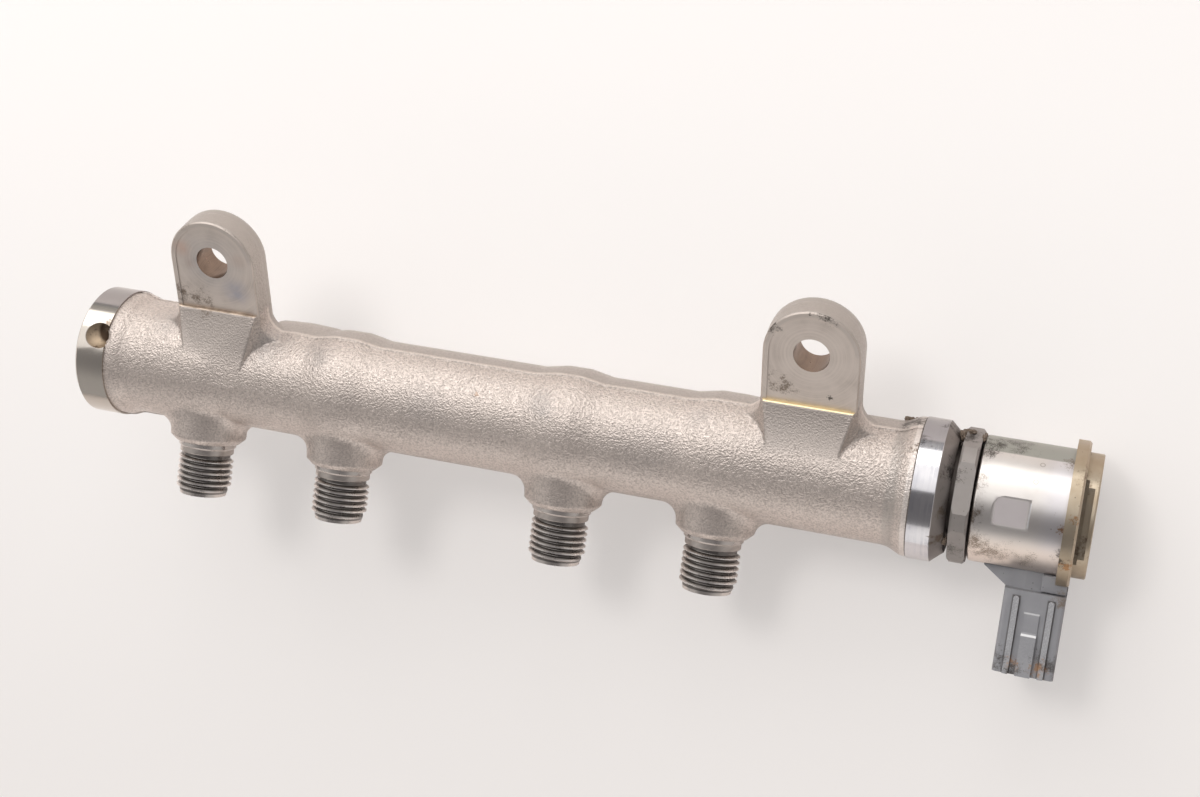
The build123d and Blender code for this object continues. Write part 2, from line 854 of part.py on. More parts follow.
def end_cap():
    """Turned cap on the core, with two wrench flats milled behind its rim."""
    end = cap_start + cap_t
    cap = disc(cap_start, end, cap_d)
    cap = fillet(cap.faces().sort_by(Axis.X)[-1].edges(), cap_edge)
    for side in (-1, 1):
        flat = side * (cap_flats / 2 + cap_d / 2)
        groove = side * (cap_flats / 2 - cap_groove_depth + cap_d / 2)
        middle = (cap_start + end - cap_rim) / 2
        cap -= Pos(middle, flat, 0) * Box(cap_t - cap_rim, cap_d, cap_d)
        cap -= Pos(cap_start + cap_groove / 2, groove, 0) * Box(cap_groove, cap_d, cap_d)
    return cap


# ---- connector -----------------------------------------------------------------------
def connector_block():
    """Outside of the connector shell, its top slanted towards the neck."""
    x0 = conn_x - conn_width / 2
    x1 = conn_x + conn_width / 2
    pts = [(x0, conn_bottom), (x1, conn_bottom), (x1, conn_right_top), (neck_x1, conn_right_top)]
    pts = pts + [(neck_x1, neck_root), (neck_x0, neck_root), (neck_x0, -can_od / 2), (x0, conn_left_top)]
    profile = make_face(Polyline(*pts, close=True))
    full = extrude(Plane.XZ * profile, conn_depth / 2, both=True)
    upright = full.edges().filter_by(Axis.Z)
    upright = [e for e in upright if abs(e.center().Y) > conn_depth / 2 - 0.1]
    upright = [e for e in upright if e.center().Z < conn_floor]
    full = fillet(upright, conn_edge)
    keep_low = Pos(conn_x, 0, conn_left_top - through / 2) * Box(through, through, through)
    return full & (keep_low + neck_prism())


def neck_prism():
    """Upright prism that gives the neck its flat front and back and its slanted sides."""
    side = neck_side_depth / 2
    front = neck_depth / 2 - window_clear
    x0 = neck_x0 - 1
    x1 = conn_x + conn_width / 2 + 1
    pts = [(x0, -side), (neck_flat_x0, -front), (neck_flat_x1, -front), (x1, -side)]
    pts = pts + [(x1, side), (neck_flat_x1, front), (neck_flat_x0, front), (x0, side)]
    plan = make_face(Polyline(*pts, close=True))
    return extrude(Plane.XY.offset(conn_bottom) * plan, through)


def connector_housing():
    """Moulded connector with socket, coding ribs and latch ramp."""
    body = connector_block()
    front = -conn_depth / 2
    for side in (-1, 1):
        height = guide_rib_top - conn_bottom
        rib = Box(guide_rib_w, 2 * guide_rib_h, height)
        top = rib.edges().filter_by(Axis.Y).sort_by(Axis.Z)[-2:]
        rib = fillet(top, guide_rib_w / 2 - 0.05)
        body += Pos(conn_x + side * guide_rib_x, front, conn_bottom + height / 2) * rib
    body += latch_ramp()
    socket_w = conn_width - 2 * conn_wall
    socket_d = conn_depth - 2 * conn_wall
    depth = conn_floor - conn_bottom
    socket = Box(socket_w, socket_d, depth + 2)
    body -= Pos(conn_x, 0, conn_floor - (depth + 2) / 2) * socket
    for side in (-1, 1):
        body -= Pos(conn_x + side * pin_pitch / 2, 0, conn_floor) * Box(pin_blade_w, pin_blade_t, 8)
    return body


def latch_ramp():
    """Middle rib that the plug's latch rides over, with its raised lower part."""
    root = -conn_depth / 2 + conn_wall / 2
    low = -conn_depth / 2 - latch_low
    high = -conn_depth / 2 - latch_height
    pts = [(root, latch_top), (low, latch_top), (low, latch_step)]
    pts = pts + [(high, latch_step - latch_step_run), (high, conn_bottom), (root, conn_bottom)]
    face = make_face(Polyline(*pts, close=True))
    return extrude(Plane.YZ.offset(conn_x - latch_width / 2) * face, latch_width)


def contact_pins():
    """Two flat contacts standing in the socket."""
    pins = []
    for side in (-1, 1):
        length = pin_blade_top - pin_blade_end
        blade = Box(pin_blade_w, pin_blade_t, length)
        tip = blade.edges().filter_by(Axis.X).sort_by(Axis.Z)[:2]
        blade = chamfer(tip, 0.3)
        pins.append(Pos(conn_x + side * pin_pitch / 2, 0, pin_blade_top - length / 2) * blade)
    return Compound(children=pins)


# ---- seals ---------------------------------------------------------------------------
def port_ring():
    """Rubber ring squeezed between the valve body's undercut and the rail."""
    inner = undercut_d / 2
    outer = ring_counterbore_d / 2
    middle = rail_end - ring_counterbore_depth / 2
    return rubber_ring(middle, inner, outer)


def core_ring():
    """Rubber ring between the pole core and the end plate."""
    inner = tube_od / 2
    outer = inner + core_ring_section
    return rubber_ring(plate_start - plate_spigot + core_ring_section / 2, inner, outer)


def rubber_ring(x, inner, outer):
    """O-ring at x that just fills the room from inner to outer radius."""
    section = (outer - inner) / 2 - 0.005
    ring = Torus((inner + outer) / 2, section)
    return Pos(x, 0, 0) * Rot(0, 90, 0) * ring


def parts():
    """Every piece by its name."""
    return {
        "rail_body": rail_body(),
        "valve_body": valve_body(),
        "sealing_washer": sealing_washer(),
        "edge_filter": edge_filter(),
        "valve_seat": valve_seat(),
        "valve_ball": valve_ball(),
        "armature_pin": armature_pin(),
        "guide_bush": guide_bush(),
        "armature": armature(),
        "stop_shim": stop_shim(),
        "armature_spring": armature_spring(),
        "spring_disc": spring_disc(),
        "isolating_sleeve": isolating_sleeve(),
        "pole_core": pole_core(),
        "coil_bobbin": coil_bobbin(),
        "coil_winding": coil_winding(),
        "magnet_can": magnet_can(),
        "end_plate": end_plate(),
        "end_cap": end_cap(),
        "connector_housing": connector_housing(),
        "contact_pins": contact_pins(),
        "port_ring": port_ring(),
        "core_ring": core_ring(),
    }


os.makedirs("parts", exist_ok=True)
for name, piece in parts().items():
    export_step(piece, f"parts/{name}.step")
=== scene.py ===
"""Looks of a diesel fuel rail: finishes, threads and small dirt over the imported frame."""

import json
import logging
import math
from dataclasses import dataclass
from enum import Enum
from typing import Iterable

import bpy
from mathutils import Matrix, Vector

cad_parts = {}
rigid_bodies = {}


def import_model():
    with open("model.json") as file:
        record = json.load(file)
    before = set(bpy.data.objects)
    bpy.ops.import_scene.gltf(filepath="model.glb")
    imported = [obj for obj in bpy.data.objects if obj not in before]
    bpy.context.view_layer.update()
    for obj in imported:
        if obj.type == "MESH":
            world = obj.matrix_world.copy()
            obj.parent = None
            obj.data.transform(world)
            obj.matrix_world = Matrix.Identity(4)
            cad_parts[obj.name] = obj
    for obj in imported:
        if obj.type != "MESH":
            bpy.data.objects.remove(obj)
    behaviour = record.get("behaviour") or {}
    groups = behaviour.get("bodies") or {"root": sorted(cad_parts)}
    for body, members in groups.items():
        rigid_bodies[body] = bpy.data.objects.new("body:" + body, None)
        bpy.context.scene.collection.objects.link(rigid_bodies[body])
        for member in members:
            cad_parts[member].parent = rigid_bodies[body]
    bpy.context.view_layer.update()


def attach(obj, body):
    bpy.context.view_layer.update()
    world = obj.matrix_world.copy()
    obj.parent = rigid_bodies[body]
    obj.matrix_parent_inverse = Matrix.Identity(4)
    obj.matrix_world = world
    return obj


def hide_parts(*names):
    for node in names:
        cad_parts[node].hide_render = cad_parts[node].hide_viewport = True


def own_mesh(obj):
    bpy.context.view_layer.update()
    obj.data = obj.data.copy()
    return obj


LOG = logging.getLogger("fuel_rail")
MM = 0.001
MM_PER_M = 1000.0
ROOT_BODY = "rail"
FLOAT = "NodeSocketFloat"
VECTOR = "NodeSocketVector"
NODE_STEP = 180
BROAD_RINGS = 900.0
OUTLETS = (31.2, 69.6, 128.0, 166.4)
INLET = 55.6
LUG_MIDDLE = 111.8
LUG_REACH = 74.6
LUG_LEAN = 26.0
HOLE_HEIGHT = 33.3
ALONG = Vector((1.0, 0.0, 0.0))
UP = Vector((0.0, 0.0, 1.0))

Socket = bpy.types.NodeSocket
Colour = tuple[float, float, float, float]
Place = tuple[float, float, float]
Span = tuple[float, float]
Band = tuple[float, float, float]
Speckle = tuple[float, float, float]


class Port(Enum):
    """Directions in which the rail's threaded stubs point."""

    OUTLET = (0.0, 0.0, -1.0)
    INLET = (0.0, 1.0, 0.0)


class Finish(Enum):
    """Finishes of the body's surfaces, as material slots."""

    FORGED = 0
    POLISHED = 1
    THREAD = 2
    MILLED = 3
    LEDGE = 4
    BORED = 5


# ---- mesh helpers --------------------------------------------------------------------
def deselect_all() -> None:
    """Leaves nothing selected."""
    for obj in bpy.context.view_layer.objects:
        obj.select_set(False)


def make_active(obj: bpy.types.Object) -> None:
    """Selects one object alone and makes it the active one.

    Args:
        obj: the object.
    """
    deselect_all()
    obj.select_set(True)
    bpy.context.view_layer.objects.active = obj


def edit(obj: bpy.types.Object) -> None:
    """Goes into edit mode on one object."""
    make_active(obj)
    bpy.ops.object.mode_set(mode="EDIT")


def leave_edit() -> None:
    """Goes back to object mode."""
    bpy.ops.object.mode_set(mode="OBJECT")


def apply_modifiers(obj: bpy.types.Object) -> None:
    """Applies every modifier of an object in order.

    Args:
        obj: the object.
    """
    make_active(obj)
    for modifier in list(obj.modifiers):
        bpy.ops.object.modifier_apply(modifier=modifier.name)


def recalculate_normals(obj: bpy.types.Object) -> None:
    """Merges doubles, then turns all faces outwards.

    Args:
        obj: the object.
    """
    edit(obj)
    bpy.ops.mesh.select_all(action="SELECT")
    bpy.ops.mesh.remove_doubles(threshold=0.002 * MM)
    bpy.ops.mesh.normals_make_consistent(inside=False)
    leave_edit()


def smooth(obj: bpy.types.Object, degrees: float) -> None:
    """Shades smooth, but keeps edges sharper than the angle."""
    make_active(obj)
    bpy.ops.object.shade_smooth_by_angle(angle=math.radians(degrees))


def copy_node(node: str, name: str) -> bpy.types.Object:
    """Copies a CAD node's mesh into a piece of its own and merges its triangles.

    Args:
        node: the CAD node's name.
        name: the new piece's name.

    Returns:
        The new object.
    """
    source = bpy.data.objects[node]
    obj = bpy.data.objects.new(name, source.data.copy())
    bpy.context.scene.collection.objects.link(obj)
    make_active(obj)
    bpy.ops.mesh.customdata_custom_splitnormals_clear()
    edit(obj)
    bpy.ops.mesh.select_all(action="SELECT")
    bpy.ops.mesh.remove_doubles(threshold=0.001 * MM)
    bpy.ops.mesh.select_all(action="DESELECT")
    leave_edit()
    return obj


def name_piece(name: str) -> bpy.types.Object:
    """Names the primitive that was just added, and its mesh.

    Args:
        name: its new name.

    Returns:
        The piece.
    """
    obj = bpy.context.object
    obj.name = name
    obj.data.name = name
    return obj


def settle(obj: bpy.types.Object, *moves: Matrix) -> None:
    """Puts an object where moves lead, the last of them first, and keeps that in its mesh.

    Args:
        obj: the object.
        moves: the moves.
    """
    place = moves[0]
    for move in moves[1:]:
        place = place @ move
    obj.matrix_world = place
    make_active(obj)
    bpy.ops.object.transform_apply(location=True, rotation=True, scale=True)


def moved(place: Vector) -> Matrix:
    """Move to a place in millimetres."""
    return Matrix.Translation(place * MM)


def turned(out: Vector) -> Matrix:
    """Turn that brings Z to a direction."""
    return UP.rotation_difference(out).to_matrix().to_4x4()


def sized(size: Vector) -> Matrix:
    """Stretch of a unit shape to a size in millimetres."""
    return Matrix.Diagonal((size.x * MM, size.y * MM, size.z * MM, 1.0))


def dress_piece(obj: bpy.types.Object, material: bpy.types.Material, degrees: float) -> None:
    """Turns a new piece's faces outwards, gives it its material and shades it smooth.

    Args:
        obj: the object.
        material: the material.
        degrees: the sharpest angle that is shaded smooth.
    """
    recalculate_normals(obj)
    obj.data.materials.append(material)
    smooth(obj, degrees)


# ---- node helpers ----------------------------------------------------------------------
class Sheet:
    """Adds and links the nodes of one tree."""

    def __init__(self, tree: bpy.types.NodeTree) -> None:
        """Keeps the tree."""
        self.tree = tree
        self.column = 0

    def fill(self, socket: Socket, value: object) -> None:
        """Links a socket to another one, or sets its value.

        Args:
            socket: the input.
            value: another socket or a plain value.
        """
        if isinstance(value, Socket):
            self.tree.links.new(value, socket)
        else:
            socket.default_value = value

    def add(self, kind: str, settings: dict | None = None, **inputs: object) -> bpy.types.Node:
        """Adds a node and fills its inputs.

        Args:
            kind: the node's type name.
            settings: properties to set on the node.
            inputs: socket names, spaces as underscores, or _0 for a number, to a value or a socket.

        Returns:
            The new node.
        """
        node = self.tree.nodes.new(kind)
        self.column += NODE_STEP
        node.location = (self.column, 0)
        for key, value in (settings or {}).items():
            setattr(node, key, value)
        for key, value in inputs.items():
            name = int(key[1:]) if key[1:].isdigit() else key.replace("_", " ")
            self.fill(node.inputs[name], value)
        return node

    def group(self, tree: bpy.types.NodeTree, **inputs: object) -> bpy.types.bpy_prop_collection:
        """Places a node group, fills its inputs and returns its outputs."""
        return self.add("ShaderNodeGroup", {"node_tree": tree}, **inputs).outputs

    def math(self, operation: str, *values: object, clamp: bool = False) -> Socket:
        """Adds a Math node and returns its result.

        Args:
            operation: the node's operation.
            values: the inputs, as sockets or numbers.
            clamp: whether the result is kept between 0 and 1.

        Returns:
            The result.
        """
        inputs = {f"_{i}": value for i, value in enumerate(values)}
        settings = {"operation": operation, "use_clamp": clamp}
        return self.add("ShaderNodeMath", settings, **inputs).outputs[0]

    def plus(self, first: object, second: object, clamp: bool = False) -> Socket:
        """Adds two values."""
        return self.math("ADD", first, second, clamp=clamp)

    def minus(self, first: object, second: object, clamp: bool = False) -> Socket:
        """Takes one value from another."""
        return self.math("SUBTRACT", first, second, clamp=clamp)

    def over(self, first: object, second: object) -> Socket:
        """Divides one value by another."""
        return self.math("DIVIDE", first, second)

    def times(self, *masks: object) -> Socket:
        """Multiplies masks together.

        Args:
            masks: the masks.

        Returns:
            The product.
        """
        product = masks[0]
        for mask in masks[1:]:
            product = self.math("MULTIPLY", product, mask)
        return product

    def apart(self, first: object, second: object) -> Socket:
        """How far two values lie apart."""
        return self.math("ABSOLUTE", self.minus(first, second))

    def length(self, first: object, second: object) -> Socket:
        """Length of the vector that two values at right angles make."""
        return self.math("SQRT", self.plus(self.times(first, first), self.times(second, second)))

    def vector(self, operation: str, *values: object) -> Socket:
        """Adds a Vector Math node and returns its value."""
        inputs = {f"_{i}": value for i, value in enumerate(values)}
        return self.add("ShaderNodeVectorMath", {"operation": operation}, **inputs).outputs["Value"]

    def scaled(self, place: object, scale: float) -> Socket:
        """Scales a vector."""
        return self.add("ShaderNodeVectorMath", {"operation": "SCALE"}, Vector=place, Scale=scale).outputs[0]

    def mix(self, factor: object, low: object, high: object) -> Socket:
        """Mixes two colours and returns the result."""
        node = self.add("ShaderNodeMix", {"data_type": "RGBA"}, _0=factor, _6=low, _7=high)
        return node.outputs[2]

    def mix_value(self, factor: object, low: object, high: object) -> Socket:
        """Mixes two values and returns the result."""
        return self.plus(low, self.times(factor, self.minus(high, low)))

    def noise(self, place: object, scale: object, detail: float = 2.0, roughness: float = 0.5) -> Socket:
        """Adds a noise texture and returns its value."""
        inputs = {"Vector": place, "Scale": scale, "Detail": detail, "Roughness": roughness}
        return self.add("ShaderNodeTexNoise", None, **inputs).outputs[0]

    def millimetres(self, place: object) -> tuple[Socket, Socket, Socket]:
        """Splits an object coordinate into x, y and z in millimetres."""
        split = self.add("ShaderNodeSeparateXYZ", None, Vector=self.scaled(place, MM_PER_M)).outputs
        return split[0], split[1], split[2]

    def within(self, value: object, centre: float, half: float, soft: float) -> Socket:
        """Mask of the stretch that reaches half each side of a centre, with soft ends."""
        return self.ramp(self.apart(value, centre), half + soft, half)

    def ramp(
        self, value: object, low: float, high: float, out_low: float = 0.0, out_high: float = 1.0
    ) -> Socket:
        """Maps a range to another, clamped and eased at both ends.

        Args:
            value: another socket or a plain value.
            low: where the range starts.
            high: where the range ends.
            out_low: what the start becomes.
            out_high: what the end becomes.

        Returns:
            The mapped value.
        """
        settings = {"interpolation_type": "SMOOTHSTEP"}
        inputs = {"Value": value, "_1": low, "_2": high, "_3": out_low, "_4": out_high}
        return self.add("ShaderNodeMapRange", settings, **inputs).outputs[0]

    def rise(self, y: object, z: object) -> Socket:
        """Height up the leaning lugs, from the rail's axis."""
        turn = math.radians(LUG_LEAN)
        return self.plus(self.times(y, -math.sin(turn)), self.times(z, math.cos(turn)))

    def beside_lug(self, x: object) -> Socket:
        """Place along the rail from the middle of the nearer lug."""
        return self.minus(self.apart(x, LUG_MIDDLE), LUG_REACH)


class Group(Sheet):
    """A node group that reads a place and gives values under names."""

    def __init__(self, name: str, inputs: dict[str, object], outputs: Iterable[str]) -> None:
        """Makes the group.

        Args:
            name: the group's name.
            inputs: the name and default of each input after the place, which is called Vector.
            outputs: the name of each output.
        """
        tree = bpy.data.node_groups.new(name, "ShaderNodeTree")
        tree.interface.new_socket(name="Vector", in_out="INPUT", socket_type=VECTOR)
        for label, default in inputs.items():
            kind = VECTOR if isinstance(default, tuple) else FLOAT
            socket = tree.interface.new_socket(name=label, in_out="INPUT", socket_type=kind)
            socket.default_value = default
        for label in outputs:
            tree.interface.new_socket(name=label, in_out="OUTPUT", socket_type=FLOAT)
        super().__init__(tree)
        self.given = self.add("NodeGroupInput").outputs
        self.place = self.given["Vector"]
        self.results = self.add("NodeGroupOutput").inputs

    def give(self, **results: Socket) -> bpy.types.NodeTree:
        """Links values to the group's outputs and returns the finished group.

        Args:
            results: the value of each output.

        Returns:
            The group.
        """
        for name, value in results.items():
            self.fill(self.results[name], value)
        return self.tree

    def per_mm(self, size: str) -> Socket:
        """Texture scale for a size in millimetres that the group is given."""
        return self.over(MM_PER_M, self.given[size])


class Effects:
    """The node groups that several finishes share."""

    def __init__(self) -> None:
        """Builds each group once."""
        self.grain = self.build_grain()
        self.lathe = self.build_lathe()
        self.grime = self.build_grime()
        self.blotches = self.build_blotches()
        self.specks = self.build_specks()

    @staticmethod
    def build_grain() -> bpy.types.NodeTree:
        """Pitted grain of a blasted forging: its height and a light and dark speckle.

        Returns:
            The node group.
        """
        group = Group("blast_grain", {"Size mm": 0.5, "Sharpness": 0.5}, ("Height", "Speckle"))
        scale = group.per_mm("Size mm")
        coarse = group.noise(group.place, scale, detail=2.5, roughness=0.6)
        inputs = {"Vector": group.place, "Scale": group.times(scale, 1.7), "Smoothness": 0.6}
        cells = group.add("ShaderNodeTexVoronoi", {"feature": "SMOOTH_F1"}, **inputs)
        pit = group.times(cells.outputs["Distance"], group.given["Sharpness"])
        height = group.plus(coarse, pit)
        return group.give(Height=height, Speckle=group.ramp(height, 0.45, 0.95))

    @staticmethod
    def build_lathe() -> bpy.types.NodeTree:
        """Rings that a turning tool leaves round the X axis, on bars and on end faces.

        Returns:
            The node group.
        """
        group = Group("lathe_rings", {"Pitch mm": 0.15}, ("Height", "Streak"))
        split = group.add("ShaderNodeSeparateXYZ", None, Vector=group.place).outputs
        along = group.plus(split[0], group.length(split[1], split[2]))
        line = {"noise_dimensions": "1D"}
        rings = group.add("ShaderNodeTexNoise", line, W=along, Scale=group.per_mm("Pitch mm")).outputs[0]
        broad = group.add("ShaderNodeTexNoise", line, W=along, Scale=BROAD_RINGS).outputs[0]
        return group.give(Height=rings, Streak=group.ramp(group.plus(rings, broad), 0.6, 1.4))

    @staticmethod
    def build_grime() -> bpy.types.NodeTree:
        """Patchy dirt that fades out round a place.

        Returns:
            The node group.
        """
        inputs = {"Centre": (0.0, 0.0, 0.0), "Reach mm": 5.0, "Patch mm": 1.0, "Cover": 0.5}
        group = Group("grime", inputs, ("Mask",))
        away = group.vector("DISTANCE", group.place, group.given["Centre"])
        reach = group.times(group.given["Reach mm"], MM)
        broad = group.noise(group.place, group.over(2.2, reach))
        ragged = group.times(group.minus(broad, 0.5), 2.2)
        inward = group.minus(1.0, group.over(away, reach))
        near = group.plus(inward, ragged, clamp=True)
        noise = group.noise(group.place, group.per_mm("Patch mm"), detail=3.0, roughness=0.8)
        level = group.plus(noise, group.times(near, group.given["Cover"]))
        solid = group.ramp(level, 0.62, 0.98, 0.0, 0.85)
        return group.give(Mask=group.times(solid, group.ramp(near, 0.0, 0.45), group.ramp(inward, -0.4, 0.1)))

    @staticmethod
    def build_blotches() -> bpy.types.NodeTree:
        """Large soft patches of uneven tone.

        Returns:
            The node group.
        """
        group = Group("blotches", {"Size mm": 12.0, "Contrast": 0.5}, ("Tone",))
        noise = group.noise(group.place, group.per_mm("Size mm"), detail=4.0)
        grown = group.times(group.minus(noise, 0.5), group.given["Contrast"])
        return group.give(Tone=group.plus(grown, 0.5, clamp=True))

    @staticmethod
    def build_specks() -> bpy.types.NodeTree:
        """Small scattered specks, in a share of the cells that they are spread over.

        Returns:
            The node group.
        """
        group = Group("specks", {"Spacing mm": 2.0, "Speck mm": 0.2, "Share": 0.4}, ("Mask",))
        scale = group.per_mm("Spacing mm")
        cells = group.add("ShaderNodeTexVoronoi", None, Vector=group.place, Scale=scale).outputs
        chance = group.add("ShaderNodeSeparateColor", None, Color=cells["Color"]).outputs
        chosen = group.math("LESS_THAN", chance[0], group.given["Share"])
        size = group.over(group.given["Speck mm"], group.given["Spacing mm"])
        varied = group.times(size, group.plus(chance[1], 0.5))
        inside = group.minus(1.0, group.over(cells["Distance"], varied), clamp=True)
        return group.give(Mask=group.times(chosen, group.ramp(inside, 0.0, 0.4)))


@dataclass(frozen=True)
class Patch:
    """One small area of dirt, rust, tint or painted shade: where it is in metres and how it spreads."""

    centre: Place
    reach_mm: float
    colour: Colour
    patch_mm: float = 0.7
    cover: float = 0.6


SOOT: Colour = (0.05, 0.042, 0.036, 1.0)
RUST: Colour = (0.34, 0.17, 0.07, 1.0)
MUD: Colour = (0.17, 0.125, 0.09, 1.0)
SHADE: Colour = (0.26, 0.25, 0.25, 1.0)


def shades(*rows: tuple[float, ...]) -> tuple[Patch, ...]:
    """Soft dark washes of painted shade from rows of x, y and z in metres, reach in millimetres and cover."""
    return tuple(Patch((x, y, z), reach, SHADE, 2.5, cover) for x, y, z, reach, cover in rows)


class Skin(Sheet):
    """The nodes of one finish, from the object coordinate to the shader."""

    def __init__(self, name: str, effects: Effects) -> None:
        """Makes a material with nothing but its shader.

        Args:
            name: the material's name.
            effects: the shared node groups.
        """
        self.material = bpy.data.materials.new(name)
        self.material.use_nodes = True
        self.material.node_tree.nodes.clear()
        super().__init__(self.material.node_tree)
        self.effects = effects
        self.place = self.add("ShaderNodeTexCoord").outputs["Object"]
        self.shader = self.add("ShaderNodeBsdfPrincipled")
        self.add("ShaderNodeOutputMaterial", None, _0=self.shader.outputs[0])
        self.x, self.y, self.z = self.millimetres(self.place)
        self.base: object = None

    def grain(self, size_mm: float, sharpness: float) -> tuple[Socket, Socket]:
        """Height and speckle of a blasted grain."""
        grain = self.group(self.effects.grain, Vector=self.place, Size_mm=size_mm, Sharpness=sharpness)
        return grain["Height"], grain["Speckle"]

    def rings(self, pitch_mm: float, place: object = None) -> tuple[Socket, Socket]:
        """Height and streaks of turned rings, round the rail's axis or in another place.

        Args:
            pitch_mm: the rings' spacing in millimetres.
            place: where they are measured, when not round the rail's axis.

        Returns:
            The height and the streaks.
        """
        where = self.place if place is None else place
        rings = self.group(self.effects.lathe, Vector=where, Pitch_mm=pitch_mm)
        return rings["Height"], rings["Streak"]

    def tone(self, size_mm: float, contrast: float) -> Socket:
        """Uneven tone in large soft patches."""
        inputs = {"Vector": self.place, "Size_mm": size_mm, "Contrast": contrast}
        return self.group(self.effects.blotches, **inputs)["Tone"]

    def start(self, factor: object, low: Colour, high: Colour) -> None:
        """Mixes the first two colours."""
        self.base = self.mix(factor, low, high)

    def lay(self, colour: object, mask: Socket, share: float | Socket = 1.0) -> None:
        """Lays a colour over what is there, where a mask is and as strongly as a share says."""
        factor = mask if share == 1.0 else self.times(mask, share)
        self.base = self.mix(factor, self.base, colour)

    def specks(self, colour: Colour, size: Speckle, strength: float | Socket) -> None:
        """Lays scattered specks of a spacing, a size and a share of the places.

        Args:
            colour: their colour.
            size: their spacing, size and share of the places.
            strength: how strongly they cover.
        """
        spacing, speck, share = size
        inputs = {"Vector": self.place, "Spacing_mm": spacing, "Speck_mm": speck, "Share": share}
        self.lay(colour, self.group(self.effects.specks, **inputs)["Mask"], strength)

    def away(self, centre: Place) -> Socket:
        """Distance from a place, in metres."""
        return self.vector("DISTANCE", self.place, centre)

    def soil(self, patches: Iterable[Patch]) -> None:
        """Lays patches of dirt.

        Args:
            patches: the patches.
        """
        for patch in patches:
            inputs = {"Centre": patch.centre, "Reach_mm": patch.reach_mm, "Patch_mm": patch.patch_mm}
            grime = self.group(self.effects.grime, Vector=self.place, Cover=patch.cover, **inputs)
            self.lay(patch.colour, grime["Mask"])

    def tint(self, patches: Iterable[Patch]) -> None:
        """Lays soft washes of colour, each strongest at its centre.

        Args:
            patches: the patches.
        """
        for patch in patches:
            tone = self.tone(patch.patch_mm, 1.2)
            near = self.times(self.ramp(self.away(patch.centre), patch.reach_mm * MM, 0.0), patch.cover)
            self.lay(patch.colour, near, tone)

    def varied(self, tone: Socket, low: float, more: float) -> Socket:
        """Roughness that grows with the tone, by more than its lowest value."""
        return self.ramp(tone, 0.2, 0.8, low, low + more)

    def finish(
        self, rough: Socket, height: Socket, bump_mm: float, metal: float = 0.0, edge: object = None
    ) -> bpy.types.Material:
        """Feeds the shader its colour, roughness, bump and metal.

        Args:
            rough: the roughness.
            height: the height of the bump.
            bump_mm: the bump's depth.
            metal: how metallic it is.
            edge: how far sharp edges are softened, in metres, or None to leave them.

        Returns:
            The finished material.
        """
        bump = self.add("ShaderNodeBump", None, Strength=1.0, Distance=bump_mm * MM, Height=height)
        if edge is not None:
            soft = self.add("ShaderNodeBevel", {"samples": 6}, Radius=edge)
            self.fill(bump.inputs["Normal"], soft.outputs[0])
        self.fill(self.shader.inputs["Base Color"], self.base)
        self.fill(self.shader.inputs["Roughness"], rough)
        self.fill(self.shader.inputs["Normal"], bump.outputs[0])
        self.shader.inputs["Metallic"].default_value = metal
        return self.material


